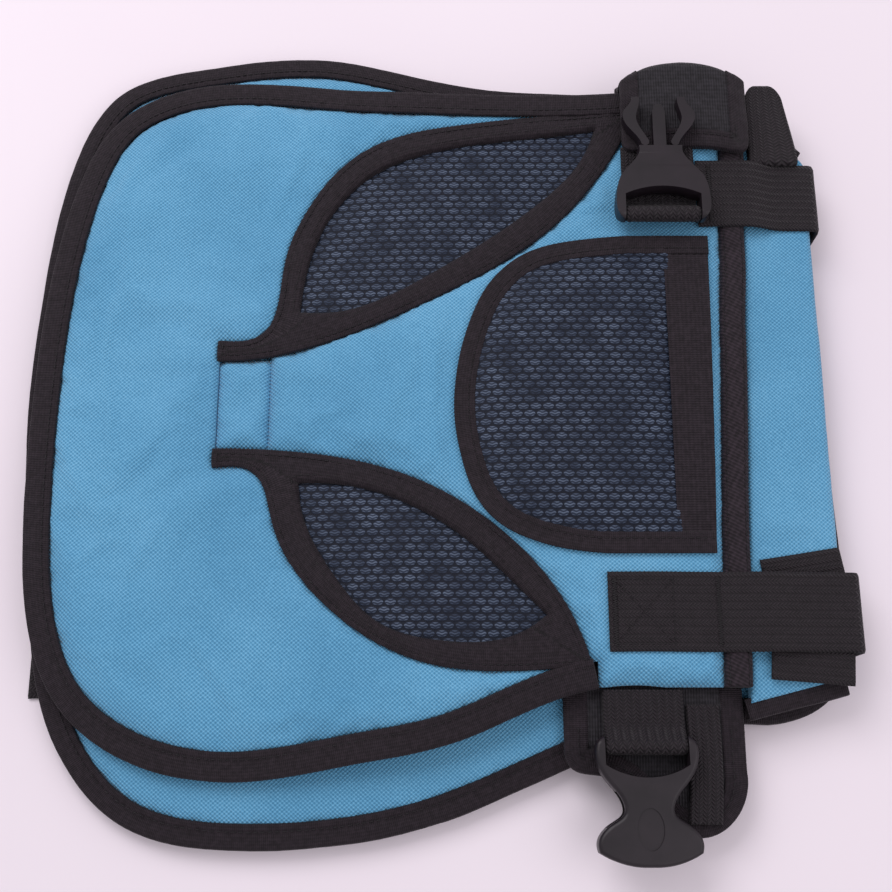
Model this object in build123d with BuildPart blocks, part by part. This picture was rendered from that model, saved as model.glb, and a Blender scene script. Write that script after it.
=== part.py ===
from build123d import *
import math
import os

# A chest-worn soft carrier, folded flat for storage.
# It lies in the XY plane with its waist end toward +X and its head end toward -X.
# The carrier is nearly symmetric about its neck line, and outlines are given as (u, v):
# u is measured from the middle of the panels toward the waist end, v from the neck line.

os.makedirs("parts", exist_ok=True)

# ---------------------------------------------------------------- driving sizes (mm)
middle_u = 7.9              # where the outlines' zero lies, so that the box is centred
middle_v = 9.062

webbing_width = 37.0
webbing_thick = 1.6
binding_width = 12.0
back_binding_width = 10.5
gap = 0.3                   # air between pieces that are not sewn together

back_height = 9.0           # padded back panel
belt_height = 7.0           # padded waist belt
front_height = 8.5          # padded front panel
fabric = 0.9                # woven cover with its backing
mesh_thick = 2.2            # spacer mesh
pocket_room = 5.0           # free height inside the front pocket

back_low = webbing_thick + gap
back_high = back_low + back_height
belt_low = back_high + gap
belt_high = belt_low + belt_height
front_rise = belt_height + gap      # the front panel climbs over the belt
front_low = belt_low
front_right_low = front_low + front_rise
front_right_high = front_right_low + front_height
stack = 60.0                # taller than anything, for cutting tools
reach = 300.0               # longer than anything, for cutting tools

sheet = Plane(origin=(middle_u, middle_v, 0))
side = Plane(origin=(middle_u, middle_v, 0), x_dir=(1, 0, 0), z_dir=(0, -1, 0))
end = Plane(origin=(middle_u, middle_v, 0), x_dir=(0, 1, 0), z_dir=(1, 0, 0))

# ---------------------------------------------------------------- outlines (u, v)
# An outline is a loop of edges. Two points make a straight edge, more make a smooth curve.
back_loop = [
    [(150, -155), (71, -169), (0, -198), (-90, -211), (-150, -199), (-186, -156),
     (-201, -90), (-209, 0), (-207, 60), (-198, 130), (-174, 178), (-130, 193), (-61, 198),
     (0, 184), (83, 177), (150, 177)],
    [(150, 177), (169, 171), (180, 145)],
    [(180, 145), (186, 100), (188, 0), (190, -60), (190, -118)],
    [(190, -118), (183, -140), (150, -155)],
]

front_end = 149.0           # where the front panel is sewn into the belt hem
hem_lean = 0.05             # how far the hem leans over toward +u for each millimetre of v
hem_pivot = 42.0            # and the v at which it has its nominal place


def leaned(u, v):
    """A point at nominal u that leans over with the hem."""
    return (u + hem_lean * (v - hem_pivot), v)


front_top = 169.0
front_bottom = -139.0
front_loop = [
    [(100, front_top), (0, 168), (-50, 172), (-100, 178), (-140, 174), (-172, 156),
     (-190, 120), (-201, 60), (-204, 0), (-203, -60), (-196, -112), (-178, -149),
     (-143, -173), (-95, -181), (-40, -173), (0, -165), (50, -145), (100, front_bottom)],
    [(100, front_bottom), leaned(front_end, front_bottom)],
    [leaned(front_end, front_bottom), leaned(front_end, front_top)],
    [leaned(front_end, front_top), (100, front_top)],
]

neck_left = -113.0
neck_right = -87.0
neck_top = 22.0
neck_bottom = -25.0
upper_tip = (98, 157)       # where the upper window ends beside the waist end
lower_tip = (66, -129)

upper_wing_edge = [
    (neck_left, 31), (-88, 38), (-81, 72), (-68, 106), (-45, 132), (-8, 145), (45, 152),
    upper_tip,
]
upper_centre_edge = [
    upper_tip, (78, 120), (53, 91), (0, 56), (-50, 34), (neck_right, neck_top + 2),
    (neck_left, neck_top),
]
lower_wing_edge = [
    (neck_left, -33), (-89, -40), (-82, -62), (-66, -90), (-40, -113), (-10, -127),
    (30, -131), lower_tip,
]
lower_centre_edge = [
    lower_tip, (46, -88), (21, -63), (-12, -43), (-50, -31), (neck_right, neck_bottom - 1),
    (neck_left, neck_bottom),
]
upper_mesh_loop = [
    [(-74, 46), (-71, 70), (-58, 102), (-38, 122), (-5, 135), (40, 142), (78, 147)],
    [(78, 147), (66, 122), (45, 101), (-5, 66), (-50, 46), (-74, 46)],
]
lower_mesh_loop = [
    [(-72, -41), (-68, -62), (-53, -88), (-32, -110), (0, -119), (26, -118), (48, -106)],
    [(48, -106), (34, -92), (13, -72), (-16, -53), (-50, -42), (-72, -41)],
]
upper_window_loop = [
    upper_wing_edge, upper_centre_edge, [(neck_left, neck_top), (neck_left, 31)],
]
lower_window_loop = [
    lower_wing_edge, lower_centre_edge, [(neck_left, neck_bottom), (neck_left, -33)],
]

pocket_end = 128.0
pocket_end_low = 126.5      # its right edge leans over a little as well
pocket_end_high = 131.3
pocket_top = 84.0
pocket_bottom = -78.0
pocket_loop = [
    [(90, pocket_top), (62, 81), (37, 73), (22, 59), (9, 30), (4, 0), (8, -34), (21, -60),
     (45, -73), (76, pocket_bottom)],
    [(76, pocket_bottom), (pocket_end_low, pocket_bottom)],
    [(pocket_end_low, pocket_bottom), (pocket_end_high, pocket_top)],
    [(pocket_end_high, pocket_top), (90, pocket_top)],
]
pocket_binding_width = 9.0
elastic_width = 17.0
hem_left = 138.0            # belt hem tape, from here to the front panel's end
binding_stop = 70.0         # from here to the hem the lower edge is sewn to the belt, unbound

belt_left = 66.0
belt_right = 147.5
belt_turn = 176.0           # where the upper belt end turns up over the panel's edge
belt_fold = -146.0          # where the lower belt end can bend
belt_end = -205.0

# ---------------------------------------------------------------- outline helpers


def unit(start, finish):
    """Direction from one point to another, as a unit pair."""
    length = math.dist(start, finish)
    return (finish[0] - start[0]) / length, (finish[1] - start[1]) / length


def moved_in(loop, inset):
    """The same loop of edges with every point moved inward by inset."""
    points = [point for edge in loop for point in edge[:-1]]
    doubled = sum(a[0] * b[1] - b[0] * a[1] for a, b in zip(points, points[1:] + points[:1]))
    turn = 1 if doubled > 0 else -1
    moved = []
    for index, point in enumerate(points):
        ax, ay = unit(points[index - 1], point)
        bx, by = unit(point, points[(index + 1) % len(points)])
        scale = turn * inset / (1 + ax * bx + ay * by)
        moved.append((point[0] - (ay + by) * scale, point[1] + (ax + bx) * scale))
    moved.append(moved[0])
    result = []
    start = 0
    for edge in loop:
        finish = start + len(edge) - 1
        result.append(moved[start:finish + 1])
        start = finish
    return result


def area(loop, height, inset=0.0):
    """A flat face at a height above the floor, bounded by a loop of edges."""
    with BuildSketch(sheet.offset(height)) as face:
        with BuildLine():
            for edge in moved_in(loop, inset):
                if len(edge) == 2:
                    Line(*edge)
                else:
                    Spline(*edge)
        make_face()
    return face.sketch


def ring(loop, inner_loop, height):
    """The flat band between two loops at a height above the floor."""
    with BuildSketch(sheet.offset(height)) as face:
        for loop_edges, mode in ((loop, Mode.ADD), (inner_loop, Mode.SUBTRACT)):
            with BuildLine():
                for edge in loop_edges:
                    if len(edge) == 2:
                        Line(*edge)
                    else:
                        Spline(*edge)
            make_face(mode=mode)
    return face.sketch


def slab(left, right, bottom, top, low):
    """A plain rectangle in (u, v) at height low."""
    with BuildSketch(sheet.offset(low)) as outline:
        with Locations(((left + right) / 2, (bottom + top) / 2)):
            Rectangle(right - left, top - bottom)
    return outline.sketch


def quad(low, *corners):
    """A plain four-sided face at height low."""
    with BuildSketch(sheet.offset(low)) as outline:
        with BuildLine():
            Polyline(*corners, close=True)
        make_face()
    return outline.sketch


def hem_slab(left, right, bottom, top, low):
    """A slab whose right side leans over with the hem, and its left side too if it is near."""
    near = left > binding_stop
    return quad(low, leaned(left, bottom) if near else (left, bottom), leaned(right, bottom),
                leaned(right, top), leaned(left, top) if near else (left, top))


def front_slice(low, high):
    """Side profile between two heights above the front panel's rising underside."""
    def rise(height):
        return [
            (-reach, front_low + height), (-120, front_low + height),
            (-60, front_low + front_rise * 0.42 + height), (0, front_right_low + height),
            (reach, front_right_low + height),
        ]
    under = rise(low)
    over = rise(high)
    with BuildSketch(side) as profile:
        with BuildLine():
            Line(under[0], under[1])
            Spline(under[1], under[2], under[3], tangents=[(1, 0), (1, 0)])
            Line(under[3], under[4])
            Line(under[4], over[4])
            Line(over[4], over[3])
            Spline(over[3], over[2], over[1], tangents=[(-1, 0), (-1, 0)])
            Line(over[1], over[0])
            Line(over[0], under[0])
        make_face()
    return profile.sketch


def strap_profile(start_u, outer_u, finish_u, top_z, down_z):
    """Side view of a webbing that runs over the waist end and back underneath."""
    floor_z = webbing_thick / 2
    with BuildSketch(side) as profile:
        with BuildLine() as route:
            FilletPolyline(
                (start_u, top_z), (155, top_z), (167, down_z), (outer_u, down_z),
                (outer_u, floor_z), (finish_u, floor_z), radius=3.0,
            )
        trace(route.line, line_width=webbing_thick)
    return profile.sketch


# ---------------------------------------------------------------- back panel
back_layers = [
    ("back_panel_lining", back_low, fabric),
    ("back_panel_foam", back_low + fabric, back_height - 2 * fabric),
    ("back_panel_cover", back_high - fabric, fabric),
]
for name, low, thick in back_layers:
    with BuildPart() as back_layer:
        extrude(area(back_loop, low, back_binding_width), amount=thick)
    back_layer.part.label = name
    export_step(back_layer.part, f"parts/{name}.step")

with BuildPart() as back_panel_binding:
    extrude(ring(back_loop, moved_in(back_loop, back_binding_width), back_low),
            amount=back_height)
back_panel_binding.part.label = "back_panel_binding"
export_step(back_panel_binding.part, "parts/back_panel_binding.step")

# The blue waist-end band: the back panel's padded edge folded over on itself.
band_left = front_end + gap
band_right = 190.0
band_high = belt_high + 3.6
band_bottom = -146.0
band_rise = 12.0            # the band's lower end slants up toward the waist end by this
band_top = 160.0
band_drop = 32.0            # and its upper end slants down by this
band_trim = 8.0


band_outer = band_right - 3.5
band_corners = [
    (band_left, band_bottom), (band_outer, band_bottom + band_rise),
    (band_outer, band_top - band_drop), leaned(band_left, band_top),
]
with BuildPart() as side_band:
    with BuildSketch(sheet.offset(belt_low)):
        with BuildLine():
            Polyline(*band_corners, (band_left, hem_pivot), close=True)
        make_face()
    extrude(amount=belt_height)
    extrude(quad(belt_high, *band_corners), amount=gap)
    extrude(quad(belt_high + gap, leaned(band_left, band_bottom), *band_corners),
            amount=band_high - belt_high - gap)
    fillet(side_band.edges().filter_by(Axis.Y).group_by(Axis.X)[-1], radius=5.0)
side_band.part.label = "side_band"
export_step(side_band.part, "parts/side_band.step")

trim_outer = band_right - 5.0
slant = band_rise / (band_outer - band_left) * (trim_outer - band_left)
drop = band_drop / (band_outer - leaned(band_left, band_top)[0])
drop = drop * (trim_outer - leaned(band_left, band_top)[0])
with BuildPart() as side_band_binding:
    extrude(quad(belt_low, (band_left, band_bottom - band_trim),
                 (trim_outer, band_bottom - band_trim + slant), (trim_outer, band_bottom + slant),
                 (band_left, band_bottom)), amount=band_high - belt_low - 1.0)
    extrude(quad(belt_low, leaned(band_left, band_top), (trim_outer, band_top - drop),
                 (trim_outer, band_top + band_trim - drop),
                 leaned(band_left, band_top + band_trim)), amount=band_high - belt_low - 1.0)
side_band_binding.part.label = "side_band_binding"
export_step(side_band_binding.part, "parts/side_band_binding.step")

# ---------------------------------------------------------------- waist belt, fixed middle
belt_binding_width = 8.0
belt_layers = [
    ("belt_lining", belt_low, fabric),
    ("belt_foam", belt_low + fabric, belt_height - 2 * fabric),
    ("belt_cover", belt_high - fabric, fabric),
]
for name, low, thick in belt_layers:
    with BuildPart() as belt_layer:
        extrude(slab(belt_left + belt_binding_width, belt_right - belt_binding_width,
                     belt_fold, belt_turn, low), amount=thick)
    belt_layer.part.label = name
    export_step(belt_layer.part, f"parts/{name}.step")

with BuildPart() as belt_binding:
    for left in (belt_left, belt_right - belt_binding_width):
        extrude(slab(left, left + belt_binding_width, belt_fold, belt_turn, belt_low),
                amount=belt_height)
belt_binding.part.label = "belt_binding"
export_step(belt_binding.part, "parts/belt_binding.step")

# ---------------------------------------------------------------- lower belt end
# It lies flat beyond the front panel and can fold up over it.
lower_tip_left = belt_left - 12.0
lower_tip_right = 137.0
lower_tip_loop = [
    [(lower_tip_left, belt_fold - gap), (lower_tip_left, -168)],
    [(lower_tip_left, -168), (59, -176), (72, -178.5), (86, -188), (98, -199), (112, belt_end)],
    [(112, belt_end), (125, -202), (134, -192), (lower_tip_right, -176)],
    [(lower_tip_right, -176), (lower_tip_right, belt_fold - gap)],
    [(lower_tip_right, belt_fold - gap), (lower_tip_left, belt_fold - gap)],
]
lower_tip_core = [
    [(lower_tip_left + 8, belt_fold - gap), (lower_tip_left + 8, -162)],
    [(lower_tip_left + 8, -162), (66, -168), (76, -170.5), (90, -180.5), (102, -191),
     (112, belt_end + 8)],
    [(112, belt_end + 8), (120, -194.5), (126, -187.5), (lower_tip_right - 8, -174)],
    [(lower_tip_right - 8, -174), (lower_tip_right - 8, belt_fold - gap)],
    [(lower_tip_right - 8, belt_fold - gap), (lower_tip_left + 8, belt_fold - gap)],
]
lower_tip_layers = [
    ("belt_end_lower_lining", belt_low, fabric),
    ("belt_end_lower_foam", belt_low + fabric, belt_height - 2 * fabric),
    ("belt_end_lower_cover", belt_high - fabric, fabric),
]
for name, low, thick in lower_tip_layers:
    with BuildPart() as lower_tip_layer:
        extrude(area(lower_tip_core, low), amount=thick)
    lower_tip_layer.part.label = name
    export_step(lower_tip_layer.part, f"parts/{name}.step")

with BuildPart() as belt_end_lower_binding:
    extrude(ring(lower_tip_loop, lower_tip_core, belt_low), amount=belt_height)
    split(bisect_by=Plane(origin=(0, middle_v + belt_fold - gap, 0), z_dir=(0, -1, 0)))
belt_end_lower_binding.part.label = "belt_end_lower_binding"
export_step(belt_end_lower_binding.part, "parts/belt_end_lower_binding.step")

# ---------------------------------------------------------------- upper belt end
# The belt turns up round the front panel's edge and lies folded over on it. The outer half
# of the turn is soft cloth that opens as the end unfolds.
turn_z = (belt_high + front_right_high + gap) / 2
turn_inner = turn_z - belt_high
upper_end_v = 133.0
upper_left = 90.0
upper_right = 155.0
upper_low = front_right_high + gap
with BuildPart() as belt_turn_upper:
    with BuildSketch(end.offset(upper_left)) as turn_face:
        with Locations((belt_turn, turn_z)):
            Circle(turn_inner + belt_height)
            Circle(turn_inner, mode=Mode.SUBTRACT)
            Rectangle(stack, stack, align=(Align.MAX, Align.CENTER), mode=Mode.SUBTRACT)
            Rectangle(stack, stack, align=(Align.CENTER, Align.MIN), mode=Mode.SUBTRACT)
    extrude(amount=upper_right - upper_left)
belt_turn_upper.part.label = "belt_turn_upper"
export_step(belt_turn_upper.part, "parts/belt_turn_upper.step")

upper_tip_layers = [
    ("belt_end_upper_cover", upper_low, fabric),
    ("belt_end_upper_foam", upper_low + fabric, belt_height - 2 * fabric),
    ("belt_end_upper_lining", upper_low + belt_height - fabric, fabric),
]
for name, low, thick in upper_tip_layers:
    with BuildPart() as upper_tip_layer:
        extrude(slab(upper_left + 8, upper_right - 8, upper_end_v + 5, belt_turn - gap, low),
                amount=thick)
    upper_tip_layer.part.label = name
    export_step(upper_tip_layer.part, f"parts/{name}.step")

with BuildPart() as belt_end_upper_binding:
    extrude(slab(upper_left, upper_right, upper_end_v, belt_turn - gap, upper_low),
            amount=belt_height)
    extrude(slab(upper_left + 8, upper_right - 8, upper_end_v + 5, belt_turn, upper_low),
            amount=belt_height, mode=Mode.SUBTRACT)
    fillet(belt_end_upper_binding.edges().filter_by(Axis.Z).group_by(Axis.Y)[0], radius=4.5)
belt_end_upper_binding.part.label = "belt_end_upper_binding"
export_step(belt_end_upper_binding.part, "parts/belt_end_upper_binding.step")

# ---------------------------------------------------------------- front panel
wing_loop_cut = [
    upper_wing_edge,
    [upper_tip, (160, 157)],
    [(160, 157), (160, -129)],
    [(160, -129), lower_tip],
    lower_wing_edge[::-1],
    [(neck_left, -33), (neck_left, 31)],
]
wing_layers = [
    ("wing_lining", 0.0, fabric),
    ("wing_foam", fabric, front_height - 2 * fabric),
    ("wing_cover", front_height - fabric, fabric),
]
for name, low, thick in wing_layers:
    with BuildPart() as wing_layer:
        extrude(area(front_loop, 0, binding_width), amount=stack)
        extrude(area(wing_loop_cut, 0), amount=stack, mode=Mode.SUBTRACT)
        extrude(front_slice(low, low + thick), amount=reach, both=True, mode=Mode.INTERSECT)
    wing_layer.part.label = name
    export_step(wing_layer.part, f"parts/{name}.step")

centre_layers = [
    ("centre_panel_lining", 0.0, fabric),
    ("centre_panel_foam", fabric, front_height - 2 * fabric),
    ("centre_panel_cover", front_height - fabric, fabric),
]
for name, low, thick in centre_layers:
    with BuildPart() as centre_layer:
        extrude(area(wing_loop_cut, 0), amount=stack)
        extrude(area(front_loop, 0, binding_width), amount=stack, mode=Mode.INTERSECT)
        extrude(hem_slab(binding_stop, hem_left, front_bottom, front_bottom + binding_width + 1,
                         0), amount=stack)
        extrude(area(front_loop, 0), amount=stack, mode=Mode.INTERSECT)
        extrude(area(upper_window_loop, 0), amount=stack, mode=Mode.SUBTRACT)
        extrude(area(lower_window_loop, 0), amount=stack, mode=Mode.SUBTRACT)
        extrude(hem_slab(neck_right, hem_left - 1, -reach, reach, 0), amount=stack,
                mode=Mode.INTERSECT)
        extrude(front_slice(low, low + thick), amount=reach, both=True, mode=Mode.INTERSECT)
    centre_layer.part.label = name
    export_step(centre_layer.part, f"parts/{name}.step")

neck_height = 7.0
with BuildPart() as neck_band:
    extrude(slab(neck_left, neck_right, neck_bottom, neck_top, 0), amount=stack)
    extrude(area(upper_window_loop, 0), amount=stack, mode=Mode.SUBTRACT)
    extrude(area(lower_window_loop, 0), amount=stack, mode=Mode.SUBTRACT)
    extrude(front_slice(0, neck_height), amount=reach, both=True, mode=Mode.INTERSECT)
neck_band.part.label = "neck_band"
export_step(neck_band.part, "parts/neck_band.step")

with BuildPart() as front_binding:
    extrude(ring(front_loop, moved_in(front_loop, binding_width), 0), amount=stack)
    extrude(hem_slab(hem_left - 1, front_end, front_bottom, front_top, 0), amount=stack,
            mode=Mode.SUBTRACT)
    extrude(slab(binding_stop, hem_left, front_bottom - 10, 0, 0), amount=stack,
            mode=Mode.SUBTRACT)
    extrude(front_slice(0, front_height), amount=reach, both=True, mode=Mode.INTERSECT)
front_binding.part.label = "front_binding"
export_step(front_binding.part, "parts/front_binding.step")

with BuildPart() as hem_tape:
    extrude(hem_slab(hem_left - 1, front_end, front_bottom, front_top, front_right_low),
            amount=front_height)
    long_edges = [edge for edge in hem_tape.edges().group_by(Axis.Z)[-1] if edge.length > 100]
    fillet(long_edges, radius=1.5)
hem_tape.part.label = "hem_tape"
export_step(hem_tape.part, "parts/hem_tape.step")

# ---------------------------------------------------------------- mesh windows
windows = [
    ("upper", upper_window_loop, upper_mesh_loop),
    ("lower", lower_window_loop, lower_mesh_loop),
]
mesh_low = 3.0
for which, window_loop, mesh_loop in windows:
    with BuildPart() as mesh_window:
        extrude(area(mesh_loop, 0), amount=stack)
        extrude(front_slice(mesh_low, mesh_low + mesh_thick), amount=reach, both=True,
                mode=Mode.INTERSECT)
    mesh_window.part.label = f"mesh_window_{which}"
    export_step(mesh_window.part, f"parts/mesh_window_{which}.step")

    with BuildPart() as window_binding:
        extrude(ring(window_loop, mesh_loop, 0), amount=stack)
        extrude(area(front_loop, 0, binding_width), amount=stack, mode=Mode.INTERSECT)
        extrude(front_slice(0, neck_height), amount=reach, both=True, mode=Mode.INTERSECT)
    window_binding.part.label = f"window_binding_{which}"
    export_step(window_binding.part, f"parts/window_binding_{which}.step")

# ---------------------------------------------------------------- front pocket
pocket_low = front_right_high
pocket_sheet = 1.2
pocket_high = pocket_low + pocket_room + pocket_sheet
mouth_left = pocket_end - elastic_width
mouth_bottom = pocket_bottom + pocket_binding_width
mouth_top = pocket_top - pocket_binding_width
pocket_lean = (pocket_end_high - pocket_end_low) / (pocket_top - pocket_bottom)


def mouth(low, beyond=0.0):
    """The pocket's mouth strip, as far as its edge and a little beyond."""
    ends = [(pocket_end_low + pocket_lean * (v - pocket_bottom) + beyond, v)
            for v in (mouth_bottom, mouth_top)]
    return quad(low, (mouth_left, mouth_bottom), *ends, (mouth_left, mouth_top))


with BuildPart() as pocket_mesh:
    extrude(area(pocket_loop, pocket_high - pocket_sheet, pocket_binding_width),
            amount=pocket_sheet)
    extrude(mouth(0), amount=stack, mode=Mode.SUBTRACT)
pocket_mesh.part.label = "pocket_mesh"
export_step(pocket_mesh.part, "parts/pocket_mesh.step")

with BuildPart() as pocket_binding:
    extrude(ring(pocket_loop, moved_in(pocket_loop, pocket_binding_width), pocket_low),
            amount=pocket_high - pocket_low)
    extrude(mouth(0, 1.0), amount=stack, mode=Mode.SUBTRACT)
pocket_binding.part.label = "pocket_binding"
export_step(pocket_binding.part, "parts/pocket_binding.step")

with BuildPart() as pocket_elastic:
    extrude(mouth(pocket_high - pocket_sheet), amount=pocket_sheet)
pocket_elastic.part.label = "pocket_elastic"
export_step(pocket_elastic.part, "parts/pocket_elastic.step")

# ---------------------------------------------------------------- shoulder webbings
# Each runs straight over the top, and slants by lean on its way back underneath.
strap_top_z = front_right_high + gap + webbing_thick / 2
layer_pitch = webbing_thick + 0.2
spare_layers = 2            # spare webbing lies under the lower strap on the band
band_strap_z = band_high + gap + webbing_thick / 2
return_start = 150.0
half_webbing = webbing_width / 2
straps = [
    ("shoulder_webbing_lower", 75.0, 192.4, -198.0, -105.0, spare_layers * layer_pitch, -19.0),
    ("shoulder_webbing_upper", 127.5, 190.0, -150.0, 108.0, 0.0, 0.0),
]
for name, start_u, outer_u, finish_u, strap_v, raised, lean in straps:
    with BuildPart() as strap:
        extrude(strap_profile(start_u, outer_u, return_start, strap_top_z,
                              band_strap_z + raised), amount=reach, both=True)
        extrude(slab(-reach, reach, strap_v - half_webbing, strap_v + half_webbing, -1.0),
                amount=stack, mode=Mode.INTERSECT)
        with BuildSketch(sheet) as strap_return:
            with BuildLine():
                Polyline((return_start, strap_v - half_webbing),
                         (return_start, strap_v + half_webbing),
                         (finish_u, strap_v + lean + half_webbing),
                         (finish_u, strap_v + lean - half_webbing), close=True)
            make_face()
        extrude(amount=webbing_thick)
    strap.part.label = name
    export_step(strap.part, f"parts/{name}.step")

# The lower strap's spare webbing, folded in two slanting layers on the waist-end band.
with BuildPart() as shoulder_webbing_spare:
    for layer, middle, turn in ((0, (170.5, -95.5), 9.0), (1, (171.0, -119.0), -5.0)):
        with BuildSketch(sheet.offset(band_high + gap + layer * layer_pitch)) as spare_face:
            with Locations(middle):
                Rectangle(44, webbing_width, rotation=turn)
            with Locations((band_left + 20, middle[1])):
                Rectangle(38, 120, mode=Mode.INTERSECT)
        extrude(amount=webbing_thick)
shoulder_webbing_spare.part.label = "shoulder_webbing_spare"
export_step(shoulder_webbing_spare.part, "parts/shoulder_webbing_spare.step")

# A slack fold of the upper webbing, lying flat on the waist-end band.
slack_low = band_high + gap
slack_far = 172.0
slack_near = 129.0
slack_left = 156.0
slack_right = 174.0
slack_radius = 2.4
with BuildPart() as shoulder_webbing_slack:
    with BuildSketch(end.offset(slack_left)) as slack_side:
        with Locations(((slack_near + slack_far) / 2, slack_low + slack_radius)):
            SlotOverall(slack_far - slack_near, 2 * slack_radius)
            SlotOverall(slack_far - slack_near - 2 * webbing_thick,
                        2 * (slack_radius - webbing_thick), mode=Mode.SUBTRACT)
    extrude(amount=slack_right - slack_left)
shoulder_webbing_slack.part.label = "shoulder_webbing_slack"
export_step(shoulder_webbing_slack.part, "parts/shoulder_webbing_slack.step")

# ---------------------------------------------------------------- buckle and its webbings
bar_radius = 2.3
loop_inner = bar_radius + gap
loop_outer = loop_inner + webbing_thick
slot_half = webbing_width / 2 + gap
socket_half_height = 5.5
plug_half_height = 4.5

socket_u = 90.0
socket_v = -165.0
socket_z = belt_high + gap + socket_half_height
plug_u = 108.0
plug_v = 92.0
arm_half_height = 3.0
plug_z = upper_low + belt_height + gap + arm_half_height


def webbing_loop(centre_u, bar_v, bar_z, tail_low, tail_end, toward):
    """A webbing that wraps a bar and runs doubled back toward +v or -v (toward = +1, -1)."""
    tail_start = bar_v + toward * 7.5
    tail_middle = tail_low + webbing_thick
    with BuildPart() as loop:
        with BuildSketch(end.offset(centre_u - webbing_width / 2)) as outer_face:
            with Locations((bar_v, bar_z)):
                Circle(loop_outer)
            with Locations((tail_start + toward * 0.5, tail_middle)):
                Rectangle(1.0, 2 * webbing_thick)
            make_hull()
            with Locations(((tail_start + tail_end) / 2, tail_middle)):
                Rectangle(abs(tail_end - tail_start), 2 * webbing_thick)
        extrude(amount=webbing_width)
        with BuildSketch(end.offset(centre_u - webbing_width / 2)) as inner_face:
            with Locations((bar_v, bar_z)):
                Circle(loop_inner)
            with Locations((bar_v + toward * 5.5, (bar_z + 2 * tail_middle) / 3)):
                Circle(0.3)
            make_hull()
        extrude(amount=webbing_width, mode=Mode.SUBTRACT)
    return loop.part


with BuildPart() as belt_webbing_lower:
    add(webbing_loop(socket_u, socket_v, socket_z, belt_high + gap, belt_fold - 0.5, 1))
belt_webbing_lower.part.label = "belt_webbing_lower"
export_step(belt_webbing_lower.part, "parts/belt_webbing_lower.step")

with BuildPart() as belt_webbing_upper:
    add(webbing_loop(plug_u, plug_v, plug_z, upper_low, upper_end_v, 1))
belt_webbing_upper.part.label = "belt_webbing_upper"
export_step(belt_webbing_upper.part, "parts/belt_webbing_upper.step")

# Female half: horns and a bar at the webbing end, a narrow waist, and a wide mouth.
socket_plane = Plane(origin=(middle_u + socket_u, middle_v + socket_v, socket_z))
socket_side = Plane(origin=socket_plane.origin, x_dir=(0, 1, 0), z_dir=(1, 0, 0))
socket_length = 52.0
socket_flank = [
    (17, 4.6), (22.2, 1.5), (23, -6), (18, -16), (12, -24), (11.2, -29), (16.5, -33.5),
    (22.2, -39), (22.6, -46),
]
with BuildPart() as buckle_socket:
    with BuildSketch(socket_plane) as socket_plan:
        with BuildLine():
            Line((0, 4.6), socket_flank[0])
            Spline(*socket_flank)
            ThreePointArc(socket_flank[-1], (13, -50.4), (0, -socket_length))
            mirror(about=Plane.YZ)
        make_face()
    extrude(amount=socket_half_height, both=True)
    with BuildSketch(socket_side) as socket_profile:
        Circle(4.6)
        with Locations((-socket_length / 2 - 8, 0)):
            Rectangle(socket_length - 16, 2 * socket_half_height)
        make_hull()
    extrude(amount=40, both=True, mode=Mode.INTERSECT)
    rim = buckle_socket.edges().filter_by(Plane.XY).filter_by_position(
        Axis.Y, middle_v + socket_v - socket_length, middle_v + socket_v - 30)
    fillet(rim, radius=1.8)
    with BuildSketch(socket_plane) as socket_slot:
        with BuildLine():
            Line((-slot_half, 8), (slot_half, 8))
            Line((slot_half, 8), (slot_half, -8.5))
            ThreePointArc((slot_half, -8.5), (0, -14), (-slot_half, -8.5))
            Line((-slot_half, -8.5), (-slot_half, 8))
        make_face()
    extrude(amount=stack, both=True, mode=Mode.SUBTRACT)
    with BuildSketch(socket_side):
        Circle(bar_radius)
    extrude(amount=slot_half + 2, both=True)
    with BuildSketch(socket_plane) as socket_mouth:
        with Locations((0, -38)):
            Rectangle(38, 36)
    extrude(amount=3.3, both=True, mode=Mode.SUBTRACT)
    with BuildSketch(socket_plane.offset(socket_half_height - 0.6)) as thumb_recess:
        with Locations((0, -36)):
            Ellipse(6, 9)
    extrude(amount=2, mode=Mode.SUBTRACT)
buckle_socket.part.label = "buckle_socket"
export_step(buckle_socket.part, "parts/buckle_socket.step")

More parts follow.
